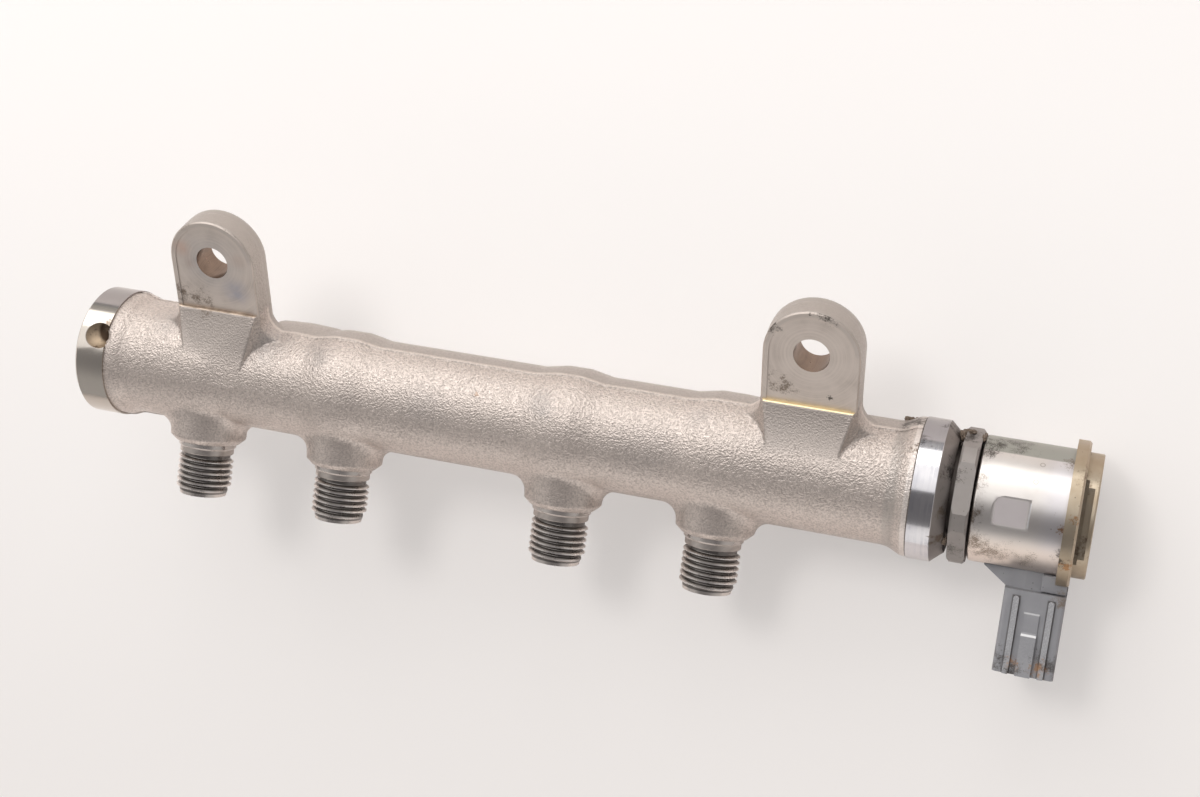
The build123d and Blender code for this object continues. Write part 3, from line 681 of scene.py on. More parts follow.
@dataclass(frozen=True)
class ForgedSkin:
    """Shot-blasted skin of the forging, with its parting line, its smoother rear half and painted shade on
    the lug roots' fronts and in the hollow left of the right end's lip.
    """

    light: Colour = (0.665, 0.585, 0.535, 1.0)
    dark: Colour = (0.41, 0.36, 0.33, 1.0)
    rear: Colour = (0.38, 0.35, 0.325, 1.0)
    seam: Colour = (0.80, 0.73, 0.67, 1.0)
    dull: Colour = (0.52, 0.46, 0.42, 1.0)
    face: Colour = (0.40, 0.355, 0.325, 1.0)
    edge: Colour = (0.41, 0.375, 0.345, 1.0)
    lip: Colour = (0.84, 0.78, 0.74, 1.0)
    pore: Colour = (0.07, 0.058, 0.05, 1.0)
    grain_mm: float = 0.62
    bump_mm: float = 0.24
    roughness: float = 0.31
    edge_mm: float = 0.9
    lip_edge_mm: float = 0.12
    hollow_shade_x: Band = (207.8, 0.6, 1.4)
    lip_x: Band = (211.45, 0.45, 0.2)
    gap_x: Band = (212.2, 0.1, 0.12)
    soft_edge_x: Span = (205.2, 206.7)
    lug_foot: Span = (19.5, 21.5)
    end_seam_lean: float = -3.0
    end_seam_x: Span = (25.0, 27.0)
    front_y: Span = (-13.3, -13.62)
    front_z: Span = (1.0, 8.0)
    front_x: Band = (0.0, 8.6, 2.2)
    behind_seam: Span = (-0.2, 0.9)
    seam_line: Band = (0.0, 0.25, 0.3)
    under_z: Span = (-1.0, -11.0)
    seam_z: Span = (6.0, 9.0)
    pore_m: Span = (0.0005, 0.00025)
    specks: Speckle = (4.5, 0.2, 0.22)
    pores: tuple[Place, ...] = (
        (0.02952, -0.0135, -0.00369),
        (0.01704, -0.01247, -0.00679),
        (0.12286, -0.00929, -0.0102),
        (0.0845, -0.0128, 0.0022),
    )
    patches: tuple[Patch, ...] = (
        Patch((0.2095, -0.0035, 0.0152), 4.5, SOOT, 0.5, 0.55),
        Patch((0.2118, -0.0120, 0.0100), 2.5, MUD, 0.4, 0.45),
        Patch((0.1070, -0.0125, 0.0060), 0.9, RUST, 0.5, 0.36),
        Patch((0.0345, -0.0138, 0.0165), 5.0, MUD, 0.9, 0.30),
    )
    # painted shade: soft dark washes on the flanks of the lug roots and round the body's swellings
    washes: tuple[Patch, ...] = shades(
        (0.05118, -0.00956, 0.0105, 8.0, 0.62),
        (0.04979, -0.01209, 0.00745, 6.0, 0.50),
        (0.02223, -0.00933, 0.0107, 7.0, 0.55),
        (0.17991, -0.01131, 0.00859, 7.0, 0.60),
        (0.19633, -0.00893, 0.01104, 7.0, 0.55),
        (0.19684, -0.00405, 0.01361, 5.0, 0.50),
        (0.12288, -0.01226, 0.00716, 5.5, 0.50),
        (0.12386, -0.01345, 0.00456, 5.0, 0.45),
        (0.16176, -0.01093, 0.00906, 5.0, 0.40),
        (0.06355, -0.01016, 0.00992, 6.0, 0.50),
        (0.06558, -0.01213, 0.00739, 5.0, 0.40),
        (0.09363, -0.01413, 0.00141, 9.0, 0.35),
        (0.14927, -0.01413, -0.00141, 12.0, 0.30),
    )

    def behind(self, skin: Skin) -> Socket:
        """Distance behind the forging's parting plane, which leans less at the left end.

        Args:
            skin: the material being built.

        Returns:
            The distance in millimetres.
        """
        depths = []
        for lean in (self.end_seam_lean, LUG_LEAN):
            turn = math.radians(lean)
            depths.append(skin.plus(skin.times(skin.y, math.cos(turn)), skin.times(skin.z, math.sin(turn))))
        return skin.mix_value(skin.ramp(skin.x, *self.end_seam_x), *depths)

    def facet(self, skin: Skin) -> Socket:
        """Mask of the flat fronts of the two lug roots."""
        across = skin.within(skin.beside_lug(skin.x), *self.front_x)
        return skin.times(across, skin.ramp(skin.y, *self.front_y), skin.ramp(skin.z, *self.front_z))

    def material(self, effects: Effects) -> bpy.types.Material:
        """Builds the material.

        Args:
            effects: the shared node groups.

        Returns:
            The finished material.
        """
        skin = Skin("forged_skin", effects)
        height, speckle = skin.grain(self.grain_mm, 0.5)
        behind = self.behind(skin)
        rear = skin.ramp(behind, *self.behind_seam)
        facet = self.facet(skin)
        skin.start(speckle, self.dark, self.light)
        skin.lay(self.dull, skin.tone(16.0, 1.1), 0.35)
        # painted shade: the dark washes laid over the forging
        skin.tint(self.washes)
        # painted shade: the flat fronts of the lug roots are laid darker, besides getting a calmer grain
        skin.lay(self.face, facet, 0.75)
        lug = skin.ramp(skin.rise(skin.y, skin.z), *self.lug_foot)
        skin.lay(self.rear, rear, 0.7)
        line = skin.within(behind, *self.seam_line)
        skin.lay(self.seam, skin.times(line, skin.ramp(skin.z, *self.seam_z), skin.minus(1.0, lug)), 0.45)
        skin.lay(self.edge, lug, 0.8)
        # painted shade: a dark ring laid in the hollow left of the lip at the right end
        skin.lay(self.rear, skin.within(skin.x, *self.hollow_shade_x), 0.55)
        skin.lay(self.lip, skin.within(skin.x, *self.lip_x), 0.5)
        skin.lay(self.pore, skin.within(skin.x, *self.gap_x), 0.85)
        for pore in self.pores:
            skin.lay(self.pore, skin.ramp(skin.away(pore), *self.pore_m))
        skin.specks(self.pore, self.specks, 0.6)
        skin.soil(self.patches)
        under = skin.ramp(skin.z, *self.under_z)
        calm = skin.plus(skin.times(rear, 0.6), skin.times(under, 0.5))
        relief = skin.minus(1.0, skin.plus(calm, skin.times(facet, 0.65)), clamp=True)
        rough = skin.ramp(speckle, 0.0, 1.0, self.roughness + 0.1, self.roughness)
        edge = skin.ramp(skin.x, *self.soft_edge_x, self.edge_mm * MM, self.lip_edge_mm * MM)
        return skin.finish(rough, skin.times(height, relief), self.bump_mm, 0.75, edge)


@dataclass(frozen=True)
class MilledLug:
    """Milled faces of the two lugs, with the cutter's arcs round their bolt holes."""

    light: Colour = (0.70, 0.62, 0.56, 1.0)
    dark: Colour = (0.50, 0.44, 0.395, 1.0)
    rim: Colour = (0.56, 0.50, 0.455, 1.0)
    rim_m: Span = (0.0098, 0.0101)
    rim_rise: Span = (0.5, 2.5)
    pitch_mm: float = 0.42
    bump_mm: float = 0.006
    roughness: float = 0.4
    tints: tuple[Patch, ...] = (
        Patch((0.02943, -0.01980, 0.03068), 3.4, (0.60, 0.32, 0.22, 1.0), 3.0, 0.8),
        Patch((0.03109, -0.01821, 0.02742), 2.8, (0.50, 0.36, 0.30, 1.0), 3.0, 0.7),
        Patch((0.04280, -0.01536, 0.02156), 5.0, (0.34, 0.36, 0.46, 1.0), 3.0, 0.9),
        Patch((0.03720, -0.01850, 0.02800), 12.0, (0.36, 0.36, 0.375, 1.0), 4.0, 0.8),
        Patch((0.03530, -0.01850, 0.02802), 4.5, (0.38, 0.40, 0.46, 1.0), 3.0, 0.8),
        Patch((0.04450, -0.01900, 0.02950), 3.0, (0.55, 0.40, 0.33, 1.0), 3.0, 0.6),
    )
    patches: tuple[Patch, ...] = (
        Patch((0.02745, -0.01440, 0.01960), 3.4, MUD, 0.35, 0.46),
        Patch((0.03239, -0.01386, 0.01850), 5.0, MUD, 0.4, 0.42),
        Patch((0.04400, -0.02350, 0.03850), 3.6, MUD, 0.4, 0.44),
        Patch((0.02900, -0.02250, 0.03650), 5.0, MUD, 0.4, 0.40),
        Patch((0.19097, -0.02378, 0.03883), 4.4, SOOT, 0.4, 0.52),
        Patch((0.18600, -0.02430, 0.03990), 3.4, SOOT, 0.35, 0.44),
        Patch((0.19118, -0.01401, 0.01881), 0.8, SOOT, 0.5, 0.7),
        Patch((0.18549, -0.02315, 0.03755), 0.6, SOOT, 0.4, 0.7),
        Patch((0.18007, -0.01463, 0.02007), 4.4, MUD, 0.4, 0.40),
        Patch((0.17667, -0.02127, 0.03368), 3.6, SOOT, 0.35, 0.42),
    )

    def material(self, effects: Effects) -> bpy.types.Material:
        """Builds the material.

        Args:
            effects: the shared node groups.

        Returns:
            The finished material.
        """
        skin = Skin("milled_lug", effects)
        rise = skin.minus(skin.rise(skin.y, skin.z), HOLE_HEIGHT)
        local = skin.add("ShaderNodeCombineXYZ", None, X=0.0, Y=rise, Z=skin.beside_lug(skin.x))
        metres = skin.scaled(local.outputs[0], MM)
        height, streak = skin.rings(self.pitch_mm, metres)
        tone = skin.tone(5.0, 1.3)
        skin.start(skin.times(streak, skin.ramp(tone, 0.2, 0.8, 0.1, 0.55)), self.light, self.dark)
        outer = skin.ramp(skin.vector("LENGTH", metres), *self.rim_m)
        skin.lay(self.rim, skin.times(outer, skin.ramp(rise, *self.rim_rise)), 0.7)
        skin.lay(self.dark, skin.ramp(tone, 0.55, 0.9, 0.0, 0.35))
        skin.tint(self.tints)
        skin.soil(self.patches)
        return skin.finish(skin.varied(tone, self.roughness, 0.12), height, self.bump_mm, 0.85)


@dataclass(frozen=True)
class LugLedge:
    """Cut ledge below a lug's milled face: a painted golden highlight on the right lug, brown on the left
    one.
    """

    # painted highlight: the golden colour of the right lug's ledge
    bright: Colour = (1.0, 0.84, 0.52, 1.0)
    worn: Colour = (0.60, 0.50, 0.41, 1.0)
    groove: Colour = (0.20, 0.155, 0.12, 1.0)
    right_x: Span = (110.8, 112.8)

    def material(self, effects: Effects) -> bpy.types.Material:
        """Builds the material.

        Args:
            effects: the shared node groups.

        Returns:
            The finished material.
        """
        skin = Skin("lug_ledge", effects)
        height, _ = skin.grain(0.5, 0.4)
        tone = skin.tone(2.0, 1.5)
        skin.start(tone, self.groove, self.worn)
        # painted highlight: the golden colour laid over the right lug's ledge
        skin.lay(self.bright, skin.ramp(skin.x, *self.right_x))
        return skin.finish(skin.ramp(tone, 0.2, 0.8, 0.42, 0.3), height, 0.006, 0.9)


@dataclass(frozen=True)
class PolishedCollar:
    """Bright turned collars at both ends, darker along their tops as a painted reflection, the right one with
    a duller cone.
    """

    light: Colour = (0.67, 0.66, 0.675, 1.0)
    streak: Colour = (0.44, 0.44, 0.49, 1.0)
    warm: Colour = (0.52, 0.475, 0.42, 1.0)
    top: Colour = (0.30, 0.29, 0.30, 1.0)
    cone: Colour = (0.22, 0.19, 0.17, 1.0)
    warm_x: Span = (120.0, 100.0)
    cone_x: Span = (217.5, 217.7)
    painted_top_z: Span = (11.7, 12.7)
    spot: Place = (0.006, -0.01536, 0.00529)
    spot_m: Span = (0.00375, 0.0036)
    spot_floor: Span = (16.21, 16.09)
    spot_shade: Place = (0.0076, -0.0141, 0.0064)
    shade_m: Span = (0.0031, 0.0021)
    rust_light: Colour = (0.36, 0.28, 0.20, 1.0)
    dark_rust_and_shade: Colour = (0.07, 0.045, 0.03, 1.0)
    patches: tuple[Patch, ...] = (
        Patch((0.2124, -0.0105, 0.0118), 3.0, SOOT, 0.4, 0.4),
        Patch((0.2198, -0.0030, 0.0145), 5.0, SOOT, 0.5, 0.5),
        Patch((0.2200, -0.0125, 0.0065), 4.5, SOOT, 0.35, 0.4),
        Patch((0.2198, -0.0140, -0.0020), 3.5, MUD, 0.3, 0.36),
        Patch((0.2190, -0.0120, -0.0095), 3.4, MUD, 0.4, 0.46),
        Patch((0.0060, -0.0150, 0.0055), 3.4, SOOT, 0.5, 0.26),
        Patch((0.0079, -0.0135, 0.0080), 2.6, MUD, 0.4, 0.45),
    )

    def material(self, effects: Effects) -> bpy.types.Material:
        """Builds the material.

        Args:
            effects: the shared node groups.

        Returns:
            The finished material.
        """
        skin = Skin("polished_collar", effects)
        height, streak = skin.rings(0.3)
        tone = skin.tone(3.0, 1.6)
        skin.start(skin.times(streak, skin.ramp(tone, 0.3, 0.8, 0.1, 0.6)), self.light, self.streak)
        skin.lay(self.warm, skin.ramp(skin.x, *self.warm_x, 0.0, 0.9))
        # painted reflection: the collars are laid darker along their tops
        skin.lay(self.top, skin.ramp(skin.z, *self.painted_top_z, 0.0, 0.75))
        skin.lay(self.cone, skin.ramp(skin.x, *self.cone_x, 0.0, 0.85))
        near = skin.ramp(skin.away(self.spot), *self.spot_m)
        inside = skin.times(near, skin.ramp(skin.length(skin.y, skin.z), *self.spot_floor))
        # painted shade: a dark crescent at the spot's upper right, mixed with its rust
        dark = skin.ramp(skin.away(self.spot_shade), *self.shade_m)
        rust_and_shade = skin.math("MAXIMUM", dark, skin.ramp(tone, 0.6, 0.9))
        skin.lay(skin.mix(rust_and_shade, self.rust_light, self.dark_rust_and_shade), inside)
        skin.soil(self.patches)
        duller = skin.math("MAXIMUM", inside, skin.ramp(skin.x, *self.cone_x))
        rough = skin.ramp(skin.plus(duller, skin.times(tone, 0.3)), 0.0, 1.2, 0.13, 0.5)
        return skin.finish(rough, height, 0.0012, 1.0)


@dataclass(frozen=True)
class CutThread:
    """Dark rolled thread, darker towards its root and with painted highlights on its crests, a bright neck
    above it and a bright tip.
    """

    # painted highlight on the crests, darker towards the root
    crest: Colour = (0.84, 0.80, 0.77, 1.0)
    groove: Colour = (0.20, 0.185, 0.175, 1.0)
    neck: Colour = (0.66, 0.61, 0.575, 1.0)
    inlet_from: float = 18.0
    neck_z: Span = (-22.3, -22.1)
    tip_z: Span = (-32.4, -32.6)
    crest_highlight_radii: Span = (6.2, 6.88)
    far_mm: float = 99.0

    def material(self, effects: Effects) -> bpy.types.Material:
        """Builds the material, whose x, y and z turn into those of the nearest stub.

        Args:
            effects: the shared node groups.

        Returns:
            The finished material.
        """
        skin = Skin("cut_thread", effects)
        aside: object = self.far_mm
        for stub in OUTLETS:
            aside = skin.math("MINIMUM", aside, skin.apart(skin.x, stub))
        back = skin.math("GREATER_THAN", skin.y, self.inlet_from)
        across = skin.mix_value(back, aside, skin.minus(skin.x, INLET))
        other = skin.mix_value(back, skin.y, skin.z)
        along = skin.mix_value(back, skin.z, skin.times(skin.y, -1.0))
        tone = skin.tone(2.2, 1.3)
        height, _ = skin.grain(0.25, 0.3)
        # painted highlight: colour runs from dark at the root to bright at the crests
        skin.start(skin.ramp(skin.length(other, across), *self.crest_highlight_radii), self.groove, self.crest)
        skin.lay(self.groove, skin.ramp(tone, 0.55, 0.95, 0.0, 0.25))
        plain = skin.math("MAXIMUM", skin.ramp(along, *self.neck_z), skin.ramp(along, *self.tip_z))
        skin.lay(self.neck, plain)
        return skin.finish(skin.varied(tone, 0.24, 0.1), height, 0.001, 1.0)


@dataclass(frozen=True)
class TurnedSteel:
    """Plain turned steel of bores and inner pieces."""

    name: str = "turned_steel"
    light: Colour = (0.60, 0.585, 0.57, 1.0)
    dark: Colour = (0.40, 0.39, 0.38, 1.0)
    roughness: float = 0.26

    def material(self, effects: Effects) -> bpy.types.Material:
        """Builds the material.

        Args:
            effects: the shared node groups.

        Returns:
            The finished material.
        """
        skin = Skin(self.name, effects)
        height, streak = skin.rings(0.16)
        tone = skin.tone(4.0, 1.3)
        skin.start(skin.times(streak, tone), self.light, self.dark)
        return skin.finish(skin.varied(tone, self.roughness, 0.12), height, 0.002, 1.0)


@dataclass(frozen=True)
class GreyNut:
    """Dull grey hexagon with fine dark specks and painted shade on its left face in the gap by the collar."""

    light: Colour = (0.37, 0.34, 0.325, 1.0)
    dark: Colour = (0.27, 0.25, 0.235, 1.0)
    gap_shade_x: Span = (221.5, 221.35)
    specks: Speckle = (0.8, 0.1, 0.5)
    patches: tuple[Patch, ...] = (
        Patch((0.2228, -0.0040, 0.0152), 5.5, SOOT, 0.35, 0.5),
        Patch((0.2215, -0.0130, 0.0060), 3.0, SOOT, 0.3, 0.32),
        Patch((0.2228, -0.0100, -0.0120), 4.5, SOOT, 0.3, 0.34),
    )

    def material(self, effects: Effects) -> bpy.types.Material:
        """Builds the material.

        Args:
            effects: the shared node groups.

        Returns:
            The finished material.
        """
        skin = Skin("grey_nut", effects)
        height, _ = skin.grain(0.3, 0.5)
        tone = skin.tone(3.0, 1.2)
        skin.start(tone, self.dark, self.light)
        skin.specks(SOOT, self.specks, 0.75)
        # painted shade: near black laid on the nut's left face, in the gap by the collar
        skin.lay(SOOT, skin.ramp(skin.x, *self.gap_shade_x, 0.0, 0.9))
        skin.soil(self.patches)
        return skin.finish(skin.varied(tone, 0.5, 0.1), height, 0.008, 0.75)


@dataclass(frozen=True)
class PlatedCan:
    """Smooth plated can of the magnet, with a painted dark greenish reflection on top, a painted warm
    reflection below and a staked mark with a painted highlight at its end.
    """

    light: Colour = (0.72, 0.685, 0.655, 1.0)
    dull: Colour = (0.56, 0.52, 0.495, 1.0)
    band: Colour = (0.36, 0.37, 0.335, 1.0)
    low: Colour = (0.78, 0.67, 0.59, 1.0)
    cool: Colour = (0.70, 0.68, 0.72, 1.0)
    mark: Colour = (0.64, 0.60, 0.62, 1.0)
    painted_gleam: Colour = (0.98, 0.97, 0.97, 1.0)
    grimy_x: Span = (229.5, 226.0)
    cool_x: Span = (238.5, 244.0)
    painted_low_z: Span = (-4.0, -9.0)
    dark_reflection_z: Span = (12.13, 12.37)
    mark_x: Band = (234.2, 3.2, 0.9)
    mark_z: Band = (0.0, 2.7, 0.8)
    mark_y: Span = (-13.9, -14.1)
    step_x: Band = (238.3, 0.1, 0.15)
    step_z: Band = (0.0, 2.6, 0.5)
    front_y: Span = (0.0, -1.0)
    specked_z: Span = (2.0, -6.0)
    droplet_m: Band = (0.0005, 0.00003, 0.00014)
    roughness: float = 0.36
    specks: Speckle = (1.6, 0.14, 0.35)
    patches: tuple[Patch, ...] = (
        Patch((0.2270, -0.0060, 0.0133), 5.5, SOOT, 0.3, 0.46),
        Patch((0.2262, -0.0135, 0.0060), 3.6, MUD, 0.25, 0.42),
        Patch((0.2262, -0.0145, -0.0015), 3.4, MUD, 0.25, 0.42),
        Patch((0.2266, -0.0120, -0.0085), 5.0, MUD, 0.3, 0.44),
        Patch((0.2315, -0.0105, -0.0102), 6.0, MUD, 0.25, 0.36),
        Patch((0.2385, -0.0095, -0.0112), 6.0, MUD, 0.25, 0.28),
        Patch((0.2456, -0.0145, -0.0017), 1.6, RUST, 0.3, 0.45),
        Patch((0.2458, -0.0125, -0.0075), 2.6, SOOT, 0.25, 0.4),
        Patch((0.2453, -0.0080, 0.0122), 3.0, MUD, 0.3, 0.34),
        Patch((0.2340, -0.0030, 0.0143), 7.0, SOOT, 0.25, 0.38),
    )
    droplets: tuple[Place, ...] = ((0.23933, -0.00945, 0.01106), (0.23852, -0.01247, 0.0075))

    def staked(self, skin: Skin) -> tuple[Socket, Socket]:
        """Masks of the flat staked mark and of the painted highlight on the step at its right end.

        Args:
            skin: the material being built.

        Returns:
            The two masks.
        """
        upright = skin.within(skin.z, *self.mark_z)
        mark = skin.times(skin.within(skin.x, *self.mark_x), upright, skin.ramp(skin.y, *self.mark_y))
        end = skin.within(skin.x, *self.step_x)
        return mark, skin.times(end, skin.within(skin.z, *self.step_z), skin.ramp(skin.y, *self.front_y))

    def material(self, effects: Effects) -> bpy.types.Material:
        """Builds the material.

        Args:
            effects: the shared node groups.

        Returns:
            The finished material.
        """
        skin = Skin("plated_can", effects)
        tone = skin.tone(6.0, 1.0)
        height, speckle = skin.grain(0.6, 0.3)
        skin.start(skin.ramp(tone, 0.4, 0.9, 0.0, 0.6), self.light, self.dull)
        skin.lay(self.dull, skin.ramp(skin.x, *self.grimy_x), skin.ramp(speckle, 0.1, 0.9, 0.3, 0.9))
        skin.lay(self.cool, skin.ramp(skin.x, *self.cool_x, 0.0, 0.6))
        # painted reflection: a warmer, lighter tone laid over the can's lower part
        skin.lay(self.low, skin.ramp(skin.z, *self.painted_low_z, 0.0, 0.75))
        mark, step = self.staked(skin)
        skin.lay(self.mark, mark, 0.65)
        # painted highlight: a near white line laid on the step at the mark's right end
        skin.lay(self.painted_gleam, step)
        # painted reflection: a dark greenish band laid over the can's top
        skin.lay(self.band, skin.ramp(skin.z, *self.dark_reflection_z, 0.0, 0.92))
        for droplet in self.droplets:
            skin.lay(MUD, skin.within(skin.away(droplet), *self.droplet_m), 0.45)
        skin.specks(MUD, self.specks, skin.ramp(skin.z, *self.specked_z, 0.15, 0.8))
        skin.soil(self.patches)
        duller = skin.plus(tone, skin.times(mark, 3.0))
        rough = skin.ramp(duller, 0.2, 3.4, self.roughness, self.roughness + 0.35)
        return skin.finish(rough, height, 0.0015, 1.0)


@dataclass(frozen=True)
class YellowPlating:
    """Yellow passivated end plate and cap, browner at the top and the bottom as painted shade, with brown
    stains and a few rust specks.
    """

    light: Colour = (0.46, 0.39, 0.30, 1.0)
    brown: Colour = (0.40, 0.315, 0.22, 1.0)
    painted_top_z: Span = (9.5, 13.0)
    painted_low_z: Span = (-4.0, -11.0)
    specks: Speckle = (1.3, 0.15, 0.3)
    patches: tuple[Patch, ...] = (
        Patch((0.2478, -0.0160, 0.0012), 1.6, RUST, 0.4, 0.6),
        Patch((0.2478, -0.0135, -0.0095), 2.0, RUST, 0.4, 0.55),
        Patch((0.2462, -0.0140, -0.0090), 2.2, SOOT, 0.35, 0.45),
        Patch((0.2490, -0.0118, 0.0095), 4.0, MUD, 0.6, 0.35),
        Patch((0.2500, -0.0118, -0.0060), 5.0, MUD, 0.7, 0.38),
    )

    def material(self, effects: Effects) -> bpy.types.Material:
        """Builds the material.

        Args:
            effects: the shared node groups.

        Returns:
            The finished material.
        """
        skin = Skin("yellow_plating", effects)
        height, _ = skin.rings(0.35)
        tone = skin.tone(3.5, 1.5)
        skin.start(skin.ramp(tone, 0.35, 0.9, 0.0, 0.6), self.light, self.brown)
        # painted shade: browner towards the top and the bottom of the plate and cap
        skin.lay(self.brown, skin.ramp(skin.z, *self.painted_top_z, 0.0, 0.55))
        skin.lay(self.brown, skin.ramp(skin.z, *self.painted_low_z, 0.0, 0.5))
        skin.specks(SOOT, self.specks, 0.6)
        skin.soil(self.patches)
        return skin.finish(skin.varied(tone, 0.32, 0.14), height, 0.0015, 0.92)


@dataclass(frozen=True)
class ConnectorPlastic:
    """Grey moulded plastic, scuffed pale along the ribs and dirty between them, with painted shade along the
    feet of the ribs and painted highlights on the latch's edges.
    """

    light: Colour = (0.30, 0.30, 0.315, 1.0)
    dark: Colour = (0.235, 0.235, 0.25, 1.0)
    scuff: Colour = (0.47, 0.47, 0.48, 1.0)
    painted_gleam: Colour = (0.72, 0.72, 0.73, 1.0)
    middle_x: float = 242.1
    rib_aside: Band = (3.9, 0.7, 0.3)
    rib_y: Span = (-7.05, -7.25)
    rib_shade_aside: Band = (3.9, 0.75, 0.35)
    below_rib_y: Span = (-7.1, -6.8)
    latch_half: Span = (1.9, 1.6)
    step_z: Band = (-28.0, 0.15, 0.15)
    step_y: Span = (-6.6, -6.9)
    latch_z: Band = (-23.1, 0.1, 0.12)
    latch_y: Span = (-5.9, -6.3)
    rib_shade_y: Span = (-5.5, -6.2)
    rib_shade_z: Span = (-19.2, -19.6)
    specks: Speckle = (1.1, 0.14, 0.4)
    patches: tuple[Patch, ...] = (
        Patch((0.23970, -0.0070, -0.0350), 2.6, RUST, 0.35, 0.36),
        Patch((0.24510, -0.0070, -0.0352), 3.0, RUST, 0.35, 0.42),
        Patch((0.2400, -0.0066, -0.0366), 3.4, SOOT, 0.3, 0.40),
        Patch((0.23600, -0.0066, -0.0340), 4.0, SOOT, 0.3, 0.36),
        Patch((0.24800, -0.0066, -0.0190), 3.0, MUD, 0.3, 0.42),
        Patch((0.24840, -0.0066, -0.0340), 4.4, SOOT, 0.3, 0.38),
        Patch((0.2452, -0.0066, -0.0330), 3.6, SOOT, 0.25, 0.32),
    )

    def painted_gleams(self, skin: Skin, aside: Socket) -> Socket:
        """Mask of the painted highlights on the edges of the latch and of the step below it.

        Args:
            skin: the material being built.
            aside: the distance from the connector's middle.

        Returns:
            The mask.
        """
        latch = skin.ramp(aside, *self.latch_half)
        low = skin.within(skin.z, *self.step_z)
        step = skin.times(low, latch, skin.ramp(skin.y, *self.step_y))
        high = skin.within(skin.z, *self.latch_z)
        top = skin.times(high, latch, skin.ramp(skin.y, *self.latch_y))
        return skin.math("MAXIMUM", step, skin.times(top, 0.6))

    def material(self, effects: Effects) -> bpy.types.Material:
        """Builds the material.

        Args:
            effects: the shared node groups.

        Returns:
            The finished material.
        """
        skin = Skin("connector_plastic", effects)
        height, speckle = skin.grain(0.35, 0.3)
        tone = skin.tone(3.0, 1.2)
        skin.start(tone, self.dark, self.light)
        patchy = skin.ramp(speckle, 0.2, 0.8, 0.25, 1.0)
        proud = skin.times(skin.ramp(skin.y, *self.rib_y), patchy)
        aside = skin.apart(skin.x, self.middle_x)
        on_rib = skin.within(aside, *self.rib_aside)
        skin.lay(self.scuff, proud, skin.ramp(on_rib, 0.0, 1.0, 0.15, 0.65))
        # painted highlight: pale lines laid on the latch's edges and its step
        skin.lay(self.painted_gleam, self.painted_gleams(skin, aside))
        # painted shade: near black laid along the feet of the ribs
        foot = skin.times(
            skin.within(aside, *self.rib_shade_aside),
            skin.ramp(skin.y, *self.below_rib_y),
            skin.ramp(skin.y, *self.rib_shade_y),
            skin.ramp(skin.z, *self.rib_shade_z),
        )
        skin.lay(SOOT, foot, 0.7)
        skin.specks(SOOT, self.specks, 0.5)
        skin.soil(self.patches)
        return skin.finish(skin.varied(tone, 0.4, 0.15), height, 0.006)


@dataclass(frozen=True)
class Moulded:
    """Moulded plastic or rubber with a faint skin."""

    name: str
    light: Colour
    dark: Colour
    roughness: float = 0.55

    def material(self, effects: Effects) -> bpy.types.Material:
        """Builds the material.

        Args:
            effects: the shared node groups.

        Returns:
            The finished material.
        """
        skin = Skin(self.name, effects)
        height, _ = skin.grain(0.35, 0.3)
        tone = skin.tone(4.0, 1.2)
        skin.start(tone, self.dark, self.light)
        return skin.finish(skin.varied(tone, self.roughness, 0.15), height, 0.006)


@dataclass(frozen=True)
class CakedDirt:
    """Oily grit that stands on the metal."""

    light: Colour = (0.16, 0.12, 0.09, 1.0)
    dark: Colour = (0.025, 0.02, 0.018, 1.0)

    def material(self, effects: Effects) -> bpy.types.Material:
        """Builds the material.

        Args:
            effects: the shared node groups.

        Returns:
            The finished material.
        """
        skin = Skin("caked_dirt", effects)
        height, speckle = skin.grain(0.35, 0.8)
        skin.start(speckle, self.dark, self.light)
        return skin.finish(skin.ramp(speckle, 0.0, 1.0, 0.65, 0.9), height, 0.08)


